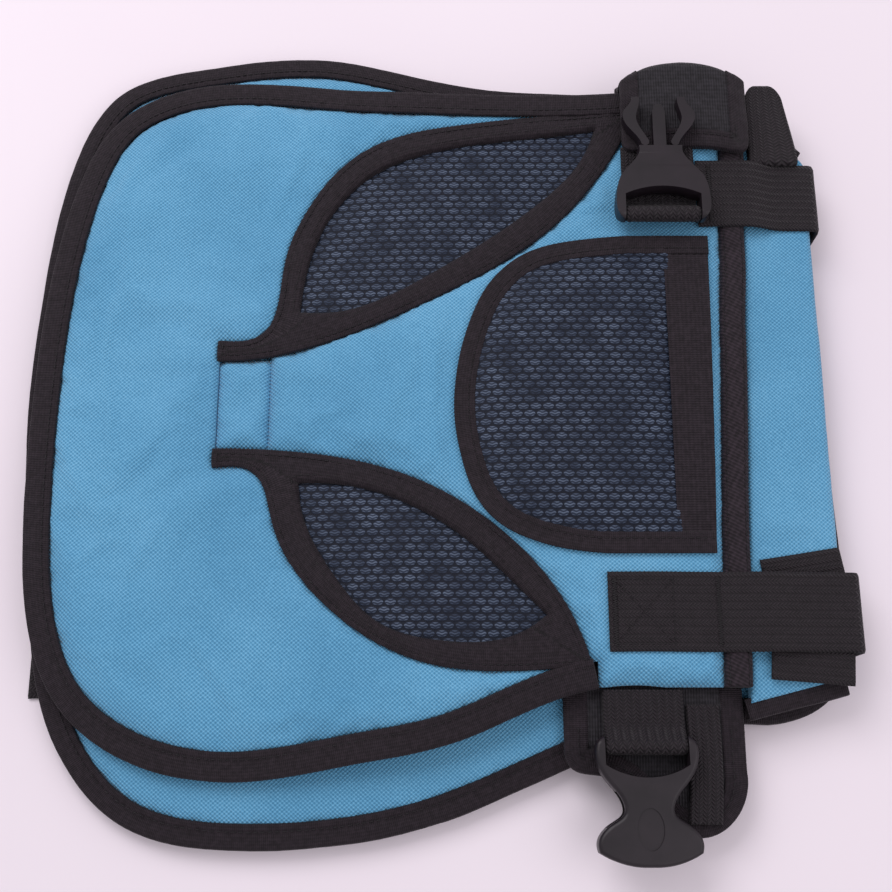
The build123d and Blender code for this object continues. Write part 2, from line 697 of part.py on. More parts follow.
# Male half: the same horned base, two side arms that spring inward, and a middle guide.
plug_plane = Plane(origin=(middle_u + plug_u, middle_v + plug_v, plug_z))
plug_side = Plane(origin=plug_plane.origin, x_dir=(0, 1, 0), z_dir=(1, 0, 0))
plug_base_end = 36.0
plug_length = 64.0
plug_flank = [
    (17, -4.5), (22.2, -1.5), (23.2, 8), (21, 18), (14, 27), (11, 32), (11, plug_base_end),
]
with BuildPart() as buckle_plug:
    with BuildSketch(plug_plane) as plug_plan:
        with BuildLine():
            Line((0, -4.5), plug_flank[0])
            Spline(*plug_flank)
            Line(plug_flank[-1], (0, plug_base_end))
            mirror(about=Plane.YZ)
        make_face()
    extrude(amount=plug_half_height, both=True)
    with BuildSketch(plug_side) as plug_profile:
        Circle(plug_half_height)
        with Locations((18, 0)):
            Rectangle(4, 2 * plug_half_height)
        with Locations((plug_base_end - 1, 0)):
            Rectangle(2, 7.6)
        make_hull()
    extrude(amount=40, both=True, mode=Mode.INTERSECT)
    with BuildSketch(plug_plane) as plug_slot:
        with BuildLine():
            Line((-slot_half, -8), (slot_half, -8))
            Line((slot_half, -8), (slot_half, 8.8))
            ThreePointArc((slot_half, 8.8), (0, 13), (-slot_half, 8.8))
            Line((-slot_half, 8.8), (-slot_half, -8))
        make_face()
    extrude(amount=stack, both=True, mode=Mode.SUBTRACT)
    with BuildSketch(plug_side):
        Circle(bar_radius)
    extrude(amount=slot_half + 2, both=True)
    with BuildSketch(plug_plane.offset(-2.5)) as guide:
        with BuildLine():
            Polyline((-3.2, plug_base_end - 4), (-3.2, 56), (-1.6, 60), (1.6, 60), (3.2, 56),
                     (3.2, plug_base_end - 4), close=True)
        make_face()
    extrude(amount=5.0)
buckle_plug.part.label = "buckle_plug"
export_step(buckle_plug.part, "parts/buckle_plug.step")

arm_root = (7.6, plug_base_end + 2.4)
arm_outer = [(9.6, 38.0), (13.5, 44), (17.6, 50), (18.2, 55), (14.8, 60), (13.6, plug_length)]
arm_inner = [(9.6, plug_length), (10.4, 58), (11.6, 52), (9.0, 45), (5.8, 39.4)]
for name, hand in (("plug_arm_left", -1), ("plug_arm_right", 1)):
    with BuildPart() as plug_arm:
        with BuildSketch(plug_plane.offset(-arm_half_height)) as arm_plan:
            with BuildLine():
                Spline(*[(hand * x, y) for x, y in arm_outer])
                Line((hand * arm_outer[-1][0], plug_length), (hand * arm_inner[0][0], plug_length))
                Spline(*[(hand * x, y) for x, y in arm_inner])
                Line((hand * arm_inner[-1][0], arm_inner[-1][1]),
                     (hand * arm_outer[0][0], arm_outer[0][1]))
            make_face()
            with Locations((hand * arm_root[0], arm_root[1])):
                Circle(2.05)
        extrude(amount=2 * arm_half_height)
    plug_arm.part.label = name
    export_step(plug_arm.part, f"parts/{name}.step")

# ---------------------------------------------------------------- bar tacks
tack_height = 0.3
tack_z = front_right_high + gap + webbing_thick
with BuildPart() as webbing_bartacks:
    for tack_u, tack_v in ((78.0, -105.0), (126.0, -105.0), (134.0, 108.0)):
        extrude(slab(tack_u - 0.9, tack_u + 0.9, tack_v - 16, tack_v + 16, tack_z),
                amount=tack_height)
webbing_bartacks.part.label = "webbing_bartacks"
export_step(webbing_bartacks.part, "parts/webbing_bartacks.step")
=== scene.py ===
"""A chest-worn soft carrier folded flat: padded cloth panels, mesh windows, webbing and buckle."""
import math
import bmesh
import bpy
import numpy as np
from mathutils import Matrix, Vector, geometry, kdtree, noise


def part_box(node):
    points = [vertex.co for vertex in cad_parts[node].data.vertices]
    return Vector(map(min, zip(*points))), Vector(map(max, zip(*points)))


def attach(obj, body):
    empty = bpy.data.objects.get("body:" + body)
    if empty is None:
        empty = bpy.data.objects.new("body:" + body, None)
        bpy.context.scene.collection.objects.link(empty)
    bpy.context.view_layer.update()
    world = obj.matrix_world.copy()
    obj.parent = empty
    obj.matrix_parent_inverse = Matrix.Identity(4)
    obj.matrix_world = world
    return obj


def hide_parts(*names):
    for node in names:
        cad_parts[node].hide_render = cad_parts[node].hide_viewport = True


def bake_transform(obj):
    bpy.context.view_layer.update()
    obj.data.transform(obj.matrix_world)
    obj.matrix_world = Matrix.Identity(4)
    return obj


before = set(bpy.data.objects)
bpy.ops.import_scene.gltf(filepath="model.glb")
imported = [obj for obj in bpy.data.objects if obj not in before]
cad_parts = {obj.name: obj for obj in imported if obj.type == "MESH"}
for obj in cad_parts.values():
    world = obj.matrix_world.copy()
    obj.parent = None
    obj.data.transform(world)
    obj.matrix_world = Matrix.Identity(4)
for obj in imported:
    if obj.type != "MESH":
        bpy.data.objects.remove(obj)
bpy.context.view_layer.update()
MM = 0.001
CARRIER = "carrier"
LOWER_END = "belt_end_lower"
UPPER_END = "belt_end_upper"

# ---- camera, light and floor
CAMERA_TILT = math.radians(16)
CAMERA_DISTANCE = 0.600
VIEW_WIDTH = 0.437
AIM = Vector((0.0079, -0.0129, 0.015))
FLOOR_SIZE = 6.0


def in_scene(name, data):
    """A new object in the scene."""
    thing = bpy.data.objects.new(name, data)
    bpy.context.scene.collection.objects.link(thing)
    return thing


def make_camera():
    """A camera nearly overhead, tipped back from the lower side."""
    data = bpy.data.cameras.new("camera")
    data.sensor_width = 36
    data.lens = data.sensor_width * CAMERA_DISTANCE / VIEW_WIDTH
    camera = in_scene("camera", data)
    back = Vector((0, -math.sin(CAMERA_TILT), math.cos(CAMERA_TILT)))
    camera.location = AIM + back * CAMERA_DISTANCE
    camera.rotation_euler = (CAMERA_TILT, 0, 0)
    bpy.context.scene.camera = camera


def make_light(name, place, size, power, colour):
    """A square soft light that faces the carrier."""
    data = bpy.data.lights.new(name, "AREA")
    data.size = size
    data.energy = power
    data.color = colour
    light = in_scene(name, data)
    light.location = place
    light.rotation_euler = (Vector(place) - AIM).to_track_quat("Z", "Y").to_euler()


def make_world():
    """Pale, even light from all round."""
    world = bpy.data.worlds.new("studio")
    world.use_nodes = True
    background = world.node_tree.nodes["Background"]
    background.inputs["Color"].default_value = (0.96, 0.93, 0.97, 1)
    background.inputs["Strength"].default_value = 0.62
    bpy.context.scene.world = world


# ---- materials
class Field:
    """A number that varies over a surface, as a node's output, with plain arithmetic."""

    def __init__(self, shader, socket):
        self.shader = shader
        self.socket = socket

    def __add__(self, other):
        return self.shader.math("ADD", self, other)

    def __sub__(self, other):
        return self.shader.math("SUBTRACT", self, other)

    def __rsub__(self, other):
        return self.shader.math("SUBTRACT", other, self)

    def __mul__(self, other):
        return self.shader.math("MULTIPLY", self, other)

    def __truediv__(self, other):
        return self.shader.math("DIVIDE", self, other)

    def __mod__(self, other):
        return self.shader.math("FLOORED_MODULO", self, other)

    def __pow__(self, other):
        return self.shader.math("POWER", self, other)

    def __abs__(self):
        return self.shader.math("ABSOLUTE", self)


class Shader:
    """Short words for building one Principled material out of nodes."""

    def __init__(self, name, **sockets):
        self.material = bpy.data.materials.new(name)
        self.material.use_nodes = True
        self.tree = self.material.node_tree
        self.surface = self.tree.nodes["Principled BSDF"]
        for socket, value in sockets.items():
            self.put(self.surface, socket.replace("_", " "), value)

    def put(self, node, socket, value):
        """Sets an input, or links it when the value is another node's output."""
        place = node.inputs[socket]
        if isinstance(value, Field):
            self.tree.links.new(value.socket, place)
        elif isinstance(value, tuple) and len(value) == 3 and place.type == "RGBA":
            place.default_value = (*value, 1)
        else:
            place.default_value = value

    def node(self, kind, inputs, output=0, **settings):
        """Adds a node with its inputs and settings, and returns one output."""
        node = self.tree.nodes.new(kind)
        for key, value in settings.items():
            setattr(node, key, value)
        for socket, value in inputs.items():
            self.put(node, socket, value)
        return Field(self, node.outputs[output])

    def math(self, operation, first, second=0.0):
        """One Math node."""
        return self.node("ShaderNodeMath", {0: first, 1: second}, operation=operation)

    def axes(self, source="Object"):
        """The x, y and z of a coordinate."""
        place = self.node("ShaderNodeTexCoord", {}, source)
        node = self.tree.nodes.new("ShaderNodeSeparateXYZ")
        self.put(node, "Vector", place)
        return [Field(self, output) for output in node.outputs]

    def noise(self, scale, detail=3.0):
        """Noise of a given scale per metre."""
        place = self.node("ShaderNodeTexCoord", {}, "Object")
        return self.node("ShaderNodeTexNoise",
                         {"Vector": place, "Scale": scale, "Detail": detail})

    def wave(self, coordinate, pitch):
        """A sine wave of a coordinate with a pitch in metres."""
        return self.math("SINE", coordinate * (2 * math.pi / pitch))

    def spread(self, value, low, high, least, kind="SMOOTHSTEP"):
        """A value's range from low to high, brought to least to 1."""
        inputs = {"Value": value, "From Min": low, "From Max": high, "To Min": least}
        return self.node("ShaderNodeMapRange", inputs, interpolation_type=kind)

    def ramp(self, factor, stops):
        """Colours or greys along a factor, as (position, colour) pairs."""
        node = self.tree.nodes.new("ShaderNodeValToRGB")
        self.put(node, "Fac", factor)
        elements = node.color_ramp.elements
        while len(elements) < len(stops):
            elements.new(0.5)
        for element, (position, colour) in zip(elements, stops):
            element.position = position
            element.color = (*colour, 1) if isinstance(colour, tuple) else (colour,) * 3 + (1,)
        return Field(self, node.outputs["Color"])

    def bump(self, height, distance, strength=1.0, below=None):
        """Adds a bump to the surface's normal, over an earlier one if given."""
        inputs = {"Height": height, "Distance": distance, "Strength": strength}
        if below is not None:
            inputs["Normal"] = below
        return self.node("ShaderNodeBump", inputs, "Normal")

    def finish(self, colour, roughness=None, normal=None):
        """Links what varies over the surface."""
        self.put(self.surface, "Base Color", colour)
        if roughness is not None:
            self.put(self.surface, "Roughness", roughness)
        if normal is not None:
            self.put(self.surface, "Normal", normal)
        return self.material


def woven_blue():
    """Sky-blue oxford cloth: an over-and-under weave with slightly uneven colour."""
    s = Shader("woven_blue", Roughness=0.78, Sheen_Weight=0.18, Sheen_Roughness=0.45,
               Specular_IOR_Level=0.25)
    x, y, _ = s.axes()
    weave = s.wave(x, 2.1 * MM) * s.wave(y, 1.9 * MM)
    slub = s.noise(900, 2.0)
    patchy = s.noise(14, 3.0)
    tone = weave * 0.27 + slub * 0.38 + patchy * 0.45
    colour = s.ramp(tone, [(0.18, (0.06, 0.22, 0.385)), (0.45, (0.11, 0.35, 0.565)),
                           (0.78, (0.21, 0.485, 0.71))])
    normal = s.bump(s.noise(60, 4.0), 0.8 * MM, 0.25)
    normal = s.bump(weave, 0.28 * MM, 0.8, normal)
    return s.finish(colour, normal=normal)


def black_cloth(name, pitch, angle, tint=(0.0085, 0.0055, 0.008), lift=2.6, source="Object"):
    """Black twill or knit: fine ribs at an angle, a little lighter on the high threads."""
    s = Shader(name, Roughness=0.72, Sheen_Weight=0.05, Sheen_Roughness=0.5,
               Specular_IOR_Level=0.22)
    x, y, _ = s.axes(source)
    along = x * math.cos(angle) + y * math.sin(angle)
    across = x * math.sin(angle) - y * math.cos(angle)
    height = s.wave(along, pitch) + s.wave(across, pitch * 1.7) * 0.45
    tone = height * 0.18 + s.noise(420, 3.0)
    bright = tuple(c * lift + 0.004 for c in tint)
    colour = s.ramp(tone, [(0.25, tint), (0.85, bright)])
    normal = s.bump(s.noise(90, 3.0), 0.6 * MM, 0.3)
    normal = s.bump(height, 0.16 * MM, 0.8, normal)
    return s.finish(colour, normal=normal)


def webbing_cloth():
    """Black webbing: chevron ribs across its width and two woven edges."""
    s = Shader("webbing", Roughness=0.6, Sheen_Weight=0.05, Sheen_Roughness=0.4,
               Specular_IOR_Level=0.28)
    across, along, _ = s.axes("UV")
    column = s.math("PINGPONG", across, 1.9 * MM)
    rib = s.wave(along + column * 0.9, 1.75 * MM)
    wale = abs(s.wave(across, 3.8 * MM))
    height = (rib + 1.2) * (wale + 0.35)
    tone = height * 0.22 + s.noise(300) * 0.35
    colour = s.ramp(tone, [(0.15, (0.005, 0.0035, 0.005)), (0.85, (0.030, 0.022, 0.028))])
    normal = s.bump(height, 0.28 * MM, 0.9)
    return s.finish(colour, normal=normal)


def moulded_plastic():
    """Black satin acetal with a fine moulded grain and a few rubbed spots."""
    s = Shader("moulded_plastic", Specular_IOR_Level=0.36)
    grain = s.noise(2600, 2.0)
    rubbed = s.noise(55, 4.0)
    colour = s.ramp(rubbed, [(0.35, (0.009, 0.006, 0.009)), (0.75, (0.020, 0.014, 0.019))])
    rough = s.ramp(rubbed, [(0.3, 0.44), (0.8, 0.33)])
    normal = s.bump(grain, 0.05 * MM, 0.5)
    return s.finish(colour, rough, normal)


def sewing_thread():
    """Black polyester thread with its twist."""
    s = Shader("sewing_thread", Roughness=0.5, Specular_IOR_Level=0.3)
    x, y, _ = s.axes()
    twist = s.wave(x + y, 0.5 * MM)
    colour = s.ramp(twist, [(0.2, (0.006, 0.005, 0.006)), (0.9, (0.026, 0.021, 0.026))])
    return s.finish(colour, normal=s.bump(twist, 0.05 * MM, 0.6))


def floor_finish():
    """Pale pinkish white board, almost without texture."""
    s = Shader("floor", Roughness=0.85, Specular_IOR_Level=0.15)
    colour = s.ramp(s.noise(3, 2.0), [(0.3, (0.81, 0.735, 0.795)), (0.7, (0.85, 0.775, 0.835))])
    return s.finish(colour)


BLUE = woven_blue()
TAPE = black_cloth("binding_rib", 0.9 * MM, math.radians(90), source="UV")
HEM = black_cloth("hem_twill", 1.6 * MM, math.radians(62), lift=3.4)
KNIT = black_cloth("knit_lining", 1.3 * MM, 0.0, (0.008, 0.007, 0.009), 3.0)
ELASTIC = black_cloth("ribbed_elastic", 1.2 * MM, math.radians(90))
WEBBING = webbing_cloth()
PLASTIC = moulded_plastic()
THREAD = sewing_thread()

# ---- outlines from the frame


def lengths(path):
    """How far along a path each of its points lies."""
    return np.r_[0, np.cumsum(np.linalg.norm(np.diff(path, axis=0), axis=1))]


def along_path(path, where):
    """The points at given lengths along a path."""
    length = lengths(path)
    return np.stack([np.interp(where, length, column) for column in path.T], 1)


def evenly(path, step, least=1):
    """A path at even spacing, with both its ends kept."""
    end = lengths(path)[-1]
    return along_path(path, np.linspace(0, end, max(least, round(end / step)) + 1))


def places_of(piece):
    """A piece's vertices as an array."""
    return np.array([v.co for v in piece.data.vertices])


def move(piece, places):
    """Puts a piece's vertices at new places."""
    piece.data.vertices.foreach_set("co", places.ravel())


def cad_places(node):
    """A CAD node's vertices as an array."""
    return places_of(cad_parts[node])


def rims(node, step):
    """The closed edges of a CAD node's upward faces, longest first, at even spacing."""
    bm = bmesh.new()
    bm.from_mesh(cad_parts[node].data)
    bmesh.ops.remove_doubles(bm, verts=bm.verts, dist=0.01 * MM)
    bm.normal_update()
    up = {f for f in bm.faces if f.normal.z > 0.6}
    beside = {}
    for edge in bm.edges:
        if sum(f in up for f in edge.link_faces) == 1:
            first, second = edge.verts
            beside.setdefault(first, []).append(second)
            beside.setdefault(second, []).append(first)
    loops = []
    while beside:
        vertex = next(iter(beside))
        loop = []
        while vertex is not None:
            loop.append(tuple(vertex.co))
            ahead = beside.pop(vertex)
            vertex = next((v for v in ahead if v in beside), None)
        if len(loop) > 3:
            loops.append(resampled(np.array(loop), step))
    bm.free()
    return sorted(loops, key=len, reverse=True)


def resampled(loop, step):
    """A closed loop at even spacing, with its sharp corners kept."""
    before = loop - np.roll(loop, 1, 0)
    after = np.roll(loop, -1, 0) - loop
    cosine = (before * after).sum(1) / np.maximum(
        np.linalg.norm(before, axis=1) * np.linalg.norm(after, axis=1), 1e-12)
    corners = list(np.where(cosine < 0.8)[0]) or [0]
    points = []
    for start, finish in zip(corners, corners[1:] + [corners[0] + len(loop)]):
        run = loop[np.arange(start, finish + 1) % len(loop)]
        points.append(evenly(run, step)[:-1])
    return np.vstack(points)


def inside(points, loops):
    """Which flat points lie between closed loops, by the even-odd rule."""
    crossings = np.zeros(len(points), int)
    for loop in loops:
        for a, b in zip(loop, np.roll(loop, -1, 0)):
            spans = (a[1] > points[:, 1]) != (b[1] > points[:, 1])
            rows = np.where(spans)[0]
            at = a[0] + (points[rows, 1] - a[1]) * (b[0] - a[0]) / (b[1] - a[1])
            crossings[rows] += points[rows, 0] < at
    return crossings % 2 == 1


def distance_to(points, loop):
    """Each flat point's distance to a loop of closely spaced points."""
    closed = np.vstack([loop, loop[:1]])
    a, b = closed[:-1, :2], closed[1:, :2]
    middles = np.vstack([a, (a + b) / 2])
    tree = kdtree.KDTree(len(middles))
    for index, point in enumerate(middles):
        tree.insert((*point, 0), index)
    tree.balance()
    return np.array([tree.find((x, y, 0))[2] for x, y in points])


def fill(loops, step):
    """A dense flat triangle mesh between closed loops: points, and faces seen from above."""
    flat = [loop[:, :2] for loop in loops]
    rim = np.vstack(flat)
    low, high = rim.min(0), rim.max(0)
    grid = []
    for row, y in enumerate(np.arange(low[1], high[1], step * 0.866)):
        xs = np.arange(low[0] + (row % 2) * step / 2, high[0], step)
        grid.append(np.stack([xs, np.full(len(xs), y)], 1))
    grid = np.vstack(grid)
    grid = grid[inside(grid, flat)]
    grid = grid[distance_to(grid, rim_points(flat)) > 0.55 * step]
    points = np.vstack([rim, grid])
    edges = []
    start = 0
    for loop in flat:
        count = len(loop)
        edges += [(start + i, start + (i + 1) % count) for i in range(count)]
        start += count
    found = geometry.delaunay_2d_cdt([Vector(p) for p in points / MM], edges, [], 0, 1e-5)
    faces = np.array([f for f in found[2] if len(f) == 3])
    points = np.array([tuple(v) for v in found[0]]) * MM
    faces = faces[inside(points[faces].mean(1), flat)]
    a, b, c = points[faces].transpose(1, 0, 2)
    upward = np.cross(b - a, c - a) > 0
    return points, np.where(upward[:, None], faces, faces[:, ::-1])


def rim_points(loops):
    """All the loops' points and the midpoints between them."""
    return np.vstack([np.vstack([loop, (loop + np.roll(loop, -1, 0)) / 2]) for loop in loops])


def wander(points, scale, seed):
    """Smooth noise at flat points, about -1 to 1, with features of a given size in metres."""
    return np.array([noise.noise((x / scale, y / scale, seed)) for x, y in points])


def wobble(values, scale, second, third):
    """Smooth noise along a line, with features of a given size in metres."""
    return np.array([noise.noise((value / scale, second, third)) for value in values])


def mesh_object(name, vertices, faces, material):
    """A smooth mesh object from points and faces."""
    data = bpy.data.meshes.new(name)
    data.from_pydata([tuple(v) for v in vertices], [], [tuple(f) for f in faces])
    data.materials.append(material)
    data.polygons.foreach_set("use_smooth", [True] * len(data.polygons))
    data.validate()
    data.update()
    return in_scene(name, data)


def closed_shell(points, faces, top, bottom):
    """Vertices and faces of a solid between two heights over a flat mesh."""
    count = len(points)
    vertices = np.vstack([np.c_[points, top], np.c_[points, bottom]])
    used = {}
    for a, b, c in faces:
        used.update({(a, b): True, (b, c): True, (c, a): True})
    sides = [(j, i, i + count, j + count) for i, j in used if (j, i) not in used]
    return vertices, [*map(tuple, faces), *map(tuple, faces[:, ::-1] + count), *sides]


def piece_of(piece, body, slot, *nodes):
    """Puts a piece on its body and hides the CAD nodes that it stands for; slot, its finish, is not
    used.
    """
    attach(piece, body)
    if nodes:
        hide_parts(*nodes)
    return piece


# ---- cloth helpers
PANEL_STEP = 3.0 * MM       # triangle size of padded panels
TAPE_STEP = 2.0 * MM        # spacing along bindings and webbings
FABRIC = 0.9 * MM
GAP = 0.3 * MM


def corners(node):
    """A CAD node's lowest and highest corner as arrays."""
    low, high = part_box(node)
    return np.array(low), np.array(high)


def level_over(node):
    """A CAD node's top height as a function of x."""
    loop = np.vstack(rims(node, 1.0 * MM))
    order = np.argsort(loop[:, 0])
    return lambda x: np.interp(x, loop[order, 0], loop[order, 2])


def smooth_step(value):
    """0 to 1 with soft ends."""
    value = np.clip(value, 0, 1)
    return value * value * (3 - 2 * value)


def near_box(points, low, high, fade):
    """1 inside a rectangle, falling to 0 at a distance."""
    outside = np.maximum(np.maximum(low[:2] - points, points - high[:2]), 0)
    return 1 - smooth_step(np.linalg.norm(outside, axis=1) / fade)


def simulated(sheets, frames=22):
    """Blows padded sheets up as cloth whose edge is sewn down, and sets their new places.

    Each sheet is a dict of points (n x 3), faces, sewn (a mask of the held points), pressure
    and slack (how much larger the cloth is than its outline)."""
    made = []
    for index, sheet in enumerate(sheets):
        piece = mesh_object(f"cloth_{index}", sheet["points"], sheet["faces"], BLUE)
        held = piece.vertex_groups.new(name="sewn")
        held.add([int(i) for i in np.where(sheet["sewn"])[0]], 1.0, "REPLACE")
        cloth = piece.modifiers.new("cloth", "CLOTH")
        settings = cloth.settings
        settings.quality = 5
        settings.mass = 0.25
        settings.tension_stiffness = 18
        settings.compression_stiffness = 18
        settings.shear_stiffness = 6
        settings.bending_stiffness = 0.6
        settings.shrink_min = -sheet["slack"]
        settings.use_pressure = True
        settings.uniform_pressure_force = sheet["pressure"]
        settings.vertex_group_mass = "sewn"
        settings.effector_weights.gravity = 0
        cloth.collision_settings.use_collision = False
        cloth.point_cache.frame_start = 1
        cloth.point_cache.frame_end = frames
        made.append((piece, sheet))
    for number in range(1, frames + 1):
        bpy.context.scene.frame_set(number)
    graph = bpy.context.evaluated_depsgraph_get()
    for piece, sheet in made:
        result = piece.evaluated_get(graph).data
        places = np.zeros(len(result.vertices) * 3)
        result.vertices.foreach_get("co", places)
        moved = places.reshape(-1, 3) - sheet["points"]
        length = np.linalg.norm(moved, axis=1)[:, None]
        most = sheet["most"]
        moved *= np.where(length > 1e-9, most * np.tanh(length / most) / np.maximum(length, 1e-9), 0)
        sheet["points"] = sheet["points"] + moved
    for piece, _ in made:
        bpy.data.objects.remove(piece)
    bpy.context.scene.frame_set(1)


def skin(name, points, faces, below, material):
    """A closed solid with one surface given and the other at given heights under it."""
    vertices, all_faces = closed_shell(points[:, :2], faces, points[:, 2], below)
    return mesh_object(name, vertices, all_faces, material)


# ---- sewn edges and stitches


def left_normals(path, closed):
    """Unit normals in the flat, to the left of a path."""
    if closed:
        ahead, behind = np.roll(path, -1, 0), np.roll(path, 1, 0)
    else:
        ahead = np.vstack([path[1:], path[-1:]])
        behind = np.vstack([path[:1], path[:-1]])
    tangent = ahead - behind
    flat = tangent[:, :2] / np.linalg.norm(tangent[:, :2], axis=1)[:, None]
    normal = np.stack([-flat[:, 1], flat[:, 0]], 1)
    for _ in range(2):
        if closed:
            normal = (np.roll(normal, 1, 0) + 2 * normal + np.roll(normal, -1, 0)) / 4
    normal /= np.linalg.norm(normal, axis=1)[:, None]
    return normal


def turned_inward(path):
    """The path in the direction that has its inside on the left."""
    x, y = path[:, 0], path[:, 1]
    doubled = (x * np.roll(y, -1) - np.roll(x, -1) * y).sum()
    return path if doubled > 0 else path[::-1]


def open_run(loop, ends):
    """The longest run of a closed loop between the points that a mask marks as its ends."""
    start = int(np.where(ends)[0][0])
    order = (np.arange(len(loop) + 1) + start) % len(loop)
    marks = np.where(ends[order])[0]
    gap = int(np.argmax(np.diff(marks)))
    return loop[order[marks[gap]:marks[gap + 1] + 1]]


def grid_mesh(name, grid, material, closed_along, uv=None):
    """A mesh from rings of points: closed round each ring, and capped or closed along."""
    count, around = grid.shape[:2]
    index = np.arange(count * around).reshape(count, around)
    ahead = np.roll(index, -1, 0) if closed_along else index[1:]
    here = index if closed_along else index[:-1]
    faces = np.stack([here, np.roll(here, -1, 1), np.roll(ahead, -1, 1), ahead], -1)
    faces = [tuple(f) for f in faces.reshape(-1, 4)]
    if not closed_along:
        faces += [tuple(index[0][::-1]), tuple(index[-1])]
    piece = mesh_object(name, grid.reshape(-1, 3), faces, material)
    outward(piece)
    if uv is not None:
        layer = piece.data.uv_layers.new(name="weave")
        rows = np.zeros(len(piece.data.loops), int)
        piece.data.loops.foreach_get("vertex_index", rows)
        places = uv.reshape(-1, 2)[rows]
        if closed_along:
            closing = (np.arange(len(rows)) >= 4 * (count - 1) * around) & (rows < around)
            places[closing, 1] += 2 * uv[-1, 0, 1] - uv[-2, 0, 1] - uv[0, 0, 1]
        layer.data.foreach_set("uv", places.ravel())
    return piece


def outward(piece):
    """Turns all faces of a closed mesh outward."""
    bm = bmesh.new()
    bm.from_mesh(piece.data)
    bmesh.ops.recalc_face_normals(bm, faces=bm.faces)
    bm.to_mesh(piece.data)
    bm.free()


def tape(name, path, low, high, width, closed, seed):
    """Binding folded round an edge: path is its outer line, with the inside on its left, and
    low and high are the pad's faces."""
    normal, along = left_normals(path, closed), lengths(path)
    bottom, top = low(path[:, 0]), high(path[:, 0])
    middle, half = (bottom + top) / 2, (top - bottom) / 2
    pucker = wobble(along, 4.5 * MM, seed, 0.3)
    swell = wobble(along, 26 * MM, seed, 7.1)
    if closed:
        seam = smooth_step(np.minimum(along, along[-1] - along) / (12 * MM))
        pucker, swell = pucker * seam, swell * seam
    share = np.linspace(0, 1, 12)
    lead = np.sin(share * math.pi / 2) ** 1.4
    rows = []
    for thick, order in ((0.0, slice(None)), (FABRIC, slice(None, None, -1))):
        upper = []
        for step, rise in zip(share, lead):
            inset = thick * 1.1 + (width - thick * 0.4) * step ** 1.7
            groove = 0.35 * MM * math.exp(-((step - 0.86) / 0.05) ** 2)
            height = half * (0.55 + 0.38 * step) * math.sqrt(1 - (1 - min(step / 0.28, 1)) ** 2)
            height = height - thick * rise - groove * (thick == 0)
            height = height + 0.28 * MM * pucker * (0.35 + step) * (thick == 0)
            upper.append((inset + 0.35 * MM * swell * (1 - step), height))
        upper = np.array([(np.broadcast_to(s, len(path)), np.broadcast_to(h, len(path)))
                          for s, h in upper])
        lower = upper[::-1].copy()
        lower[:, 1] *= -1
        rows.append(np.vstack([lower, upper[1:]])[order])
    section = np.vstack(rows)
    grid = np.empty((len(path), len(section), 3))
    grid[:, :, :2] = path[:, None, :2] + normal[:, None, :] * section[:, 0].T[:, :, None]
    grid[:, :, 2] = middle[:, None] + section[:, 1].T
    uv = np.empty((len(path), len(section), 2))
    uv[:, :, 0] = section[:, 0, :1].T
    uv[:, :, 1] = along[:, None]
    return grid_mesh(name, grid, TAPE, closed, uv)


def capsules(name, centres, directions, length, radius):
    """Many small stitches: rounded bars whose ends dip into the cloth."""
    sides = 6
    turns = np.arange(sides) * 2 * math.pi / sides
    rings = [(-0.5, 0.45, -0.5), (-0.28, 1.0, 0.12), (0.28, 1.0, 0.12), (0.5, 0.45, -0.5)]
    template = np.array([(a * length, size * radius * math.cos(t),
                          size * radius * math.sin(t) + dip * radius)
                         for a, size, dip in rings for t in turns])
    ahead = directions / np.linalg.norm(directions, axis=1)[:, None]
    side = np.cross(np.broadcast_to((0.0, 0.0, 1.0), ahead.shape), ahead)
    side /= np.linalg.norm(side, axis=1)[:, None]
    over = np.cross(ahead, side)
    places = (centres[:, None] + ahead[:, None] * template[None, :, :1]
              + side[:, None] * template[None, :, 1:2] + over[:, None] * template[None, :, 2:])
    ring = np.arange(sides)
    faces = [tuple(int(k * sides + i) for k, i in ((r, a), (r, b), (r + 1, b), (r + 1, a)))
             for r in range(3) for a, b in zip(ring, np.roll(ring, -1))]
    faces += [tuple(int(i) for i in ring[::-1]), tuple(int(3 * sides + i) for i in ring)]
    every = [tuple(i + n * len(template) for i in f) for n in range(len(centres)) for f in faces]
    return mesh_object(name, places.reshape(-1, 3), every, THREAD)


LONG_STITCH = (3.3 * MM, 2.5 * MM, 0.26 * MM)      # pitch, length and radius
BOX_STITCH = (2.6 * MM, 2.0 * MM, 0.24 * MM)


def stitched(name, paths, body, stitch=LONG_STITCH):
    """One piece with the stitches of several seams along open paths."""
    pitch, length, radius = stitch
    centres, directions = [], []
    for path in paths:
        where = np.arange(pitch / 2, lengths(path)[-1], pitch)
        centres.append(along_path(path, where))
        directions.append(along_path(path, where + 0.4 * MM) - along_path(path, where - 0.4 * MM))
    piece = capsules(name, np.vstack(centres), np.vstack(directions), length, radius)
    return piece_of(piece, body, "thread")


def inner_line(path, inset, height, closed=True):
    """The line at an inset inside a path, at heights given by x, closed on itself if asked."""
    if closed:
        path = turned_inward(path)
    flat = path[:, :2] + left_normals(path, closed) * inset
    line = np.c_[flat, height(flat[:, 0])]
    return np.vstack([line, line[:1]]) if closed else line


# ---- webbing


def rounded_route(points, radius, step):
    """An even run of points along straight legs with soft bends."""
    points = np.array(points, float)
    line = [points[0]]
    for before, corner, after in zip(points, points[1:], points[2:]):
        back, ahead = before - corner, after - corner
        cut = min(radius, 0.49 * np.linalg.norm(back), 0.49 * np.linalg.norm(ahead))
        start = corner + back / np.linalg.norm(back) * cut
        finish = corner + ahead / np.linalg.norm(ahead) * cut
        for t in np.linspace(0, 1, 9):
            line.append((1 - t) ** 2 * start + 2 * t * (1 - t) * corner + t * t * finish)
    line.append(points[-1])
    return evenly(np.array(line), step, 2)


WEBBING_THICK = 1.6 * MM


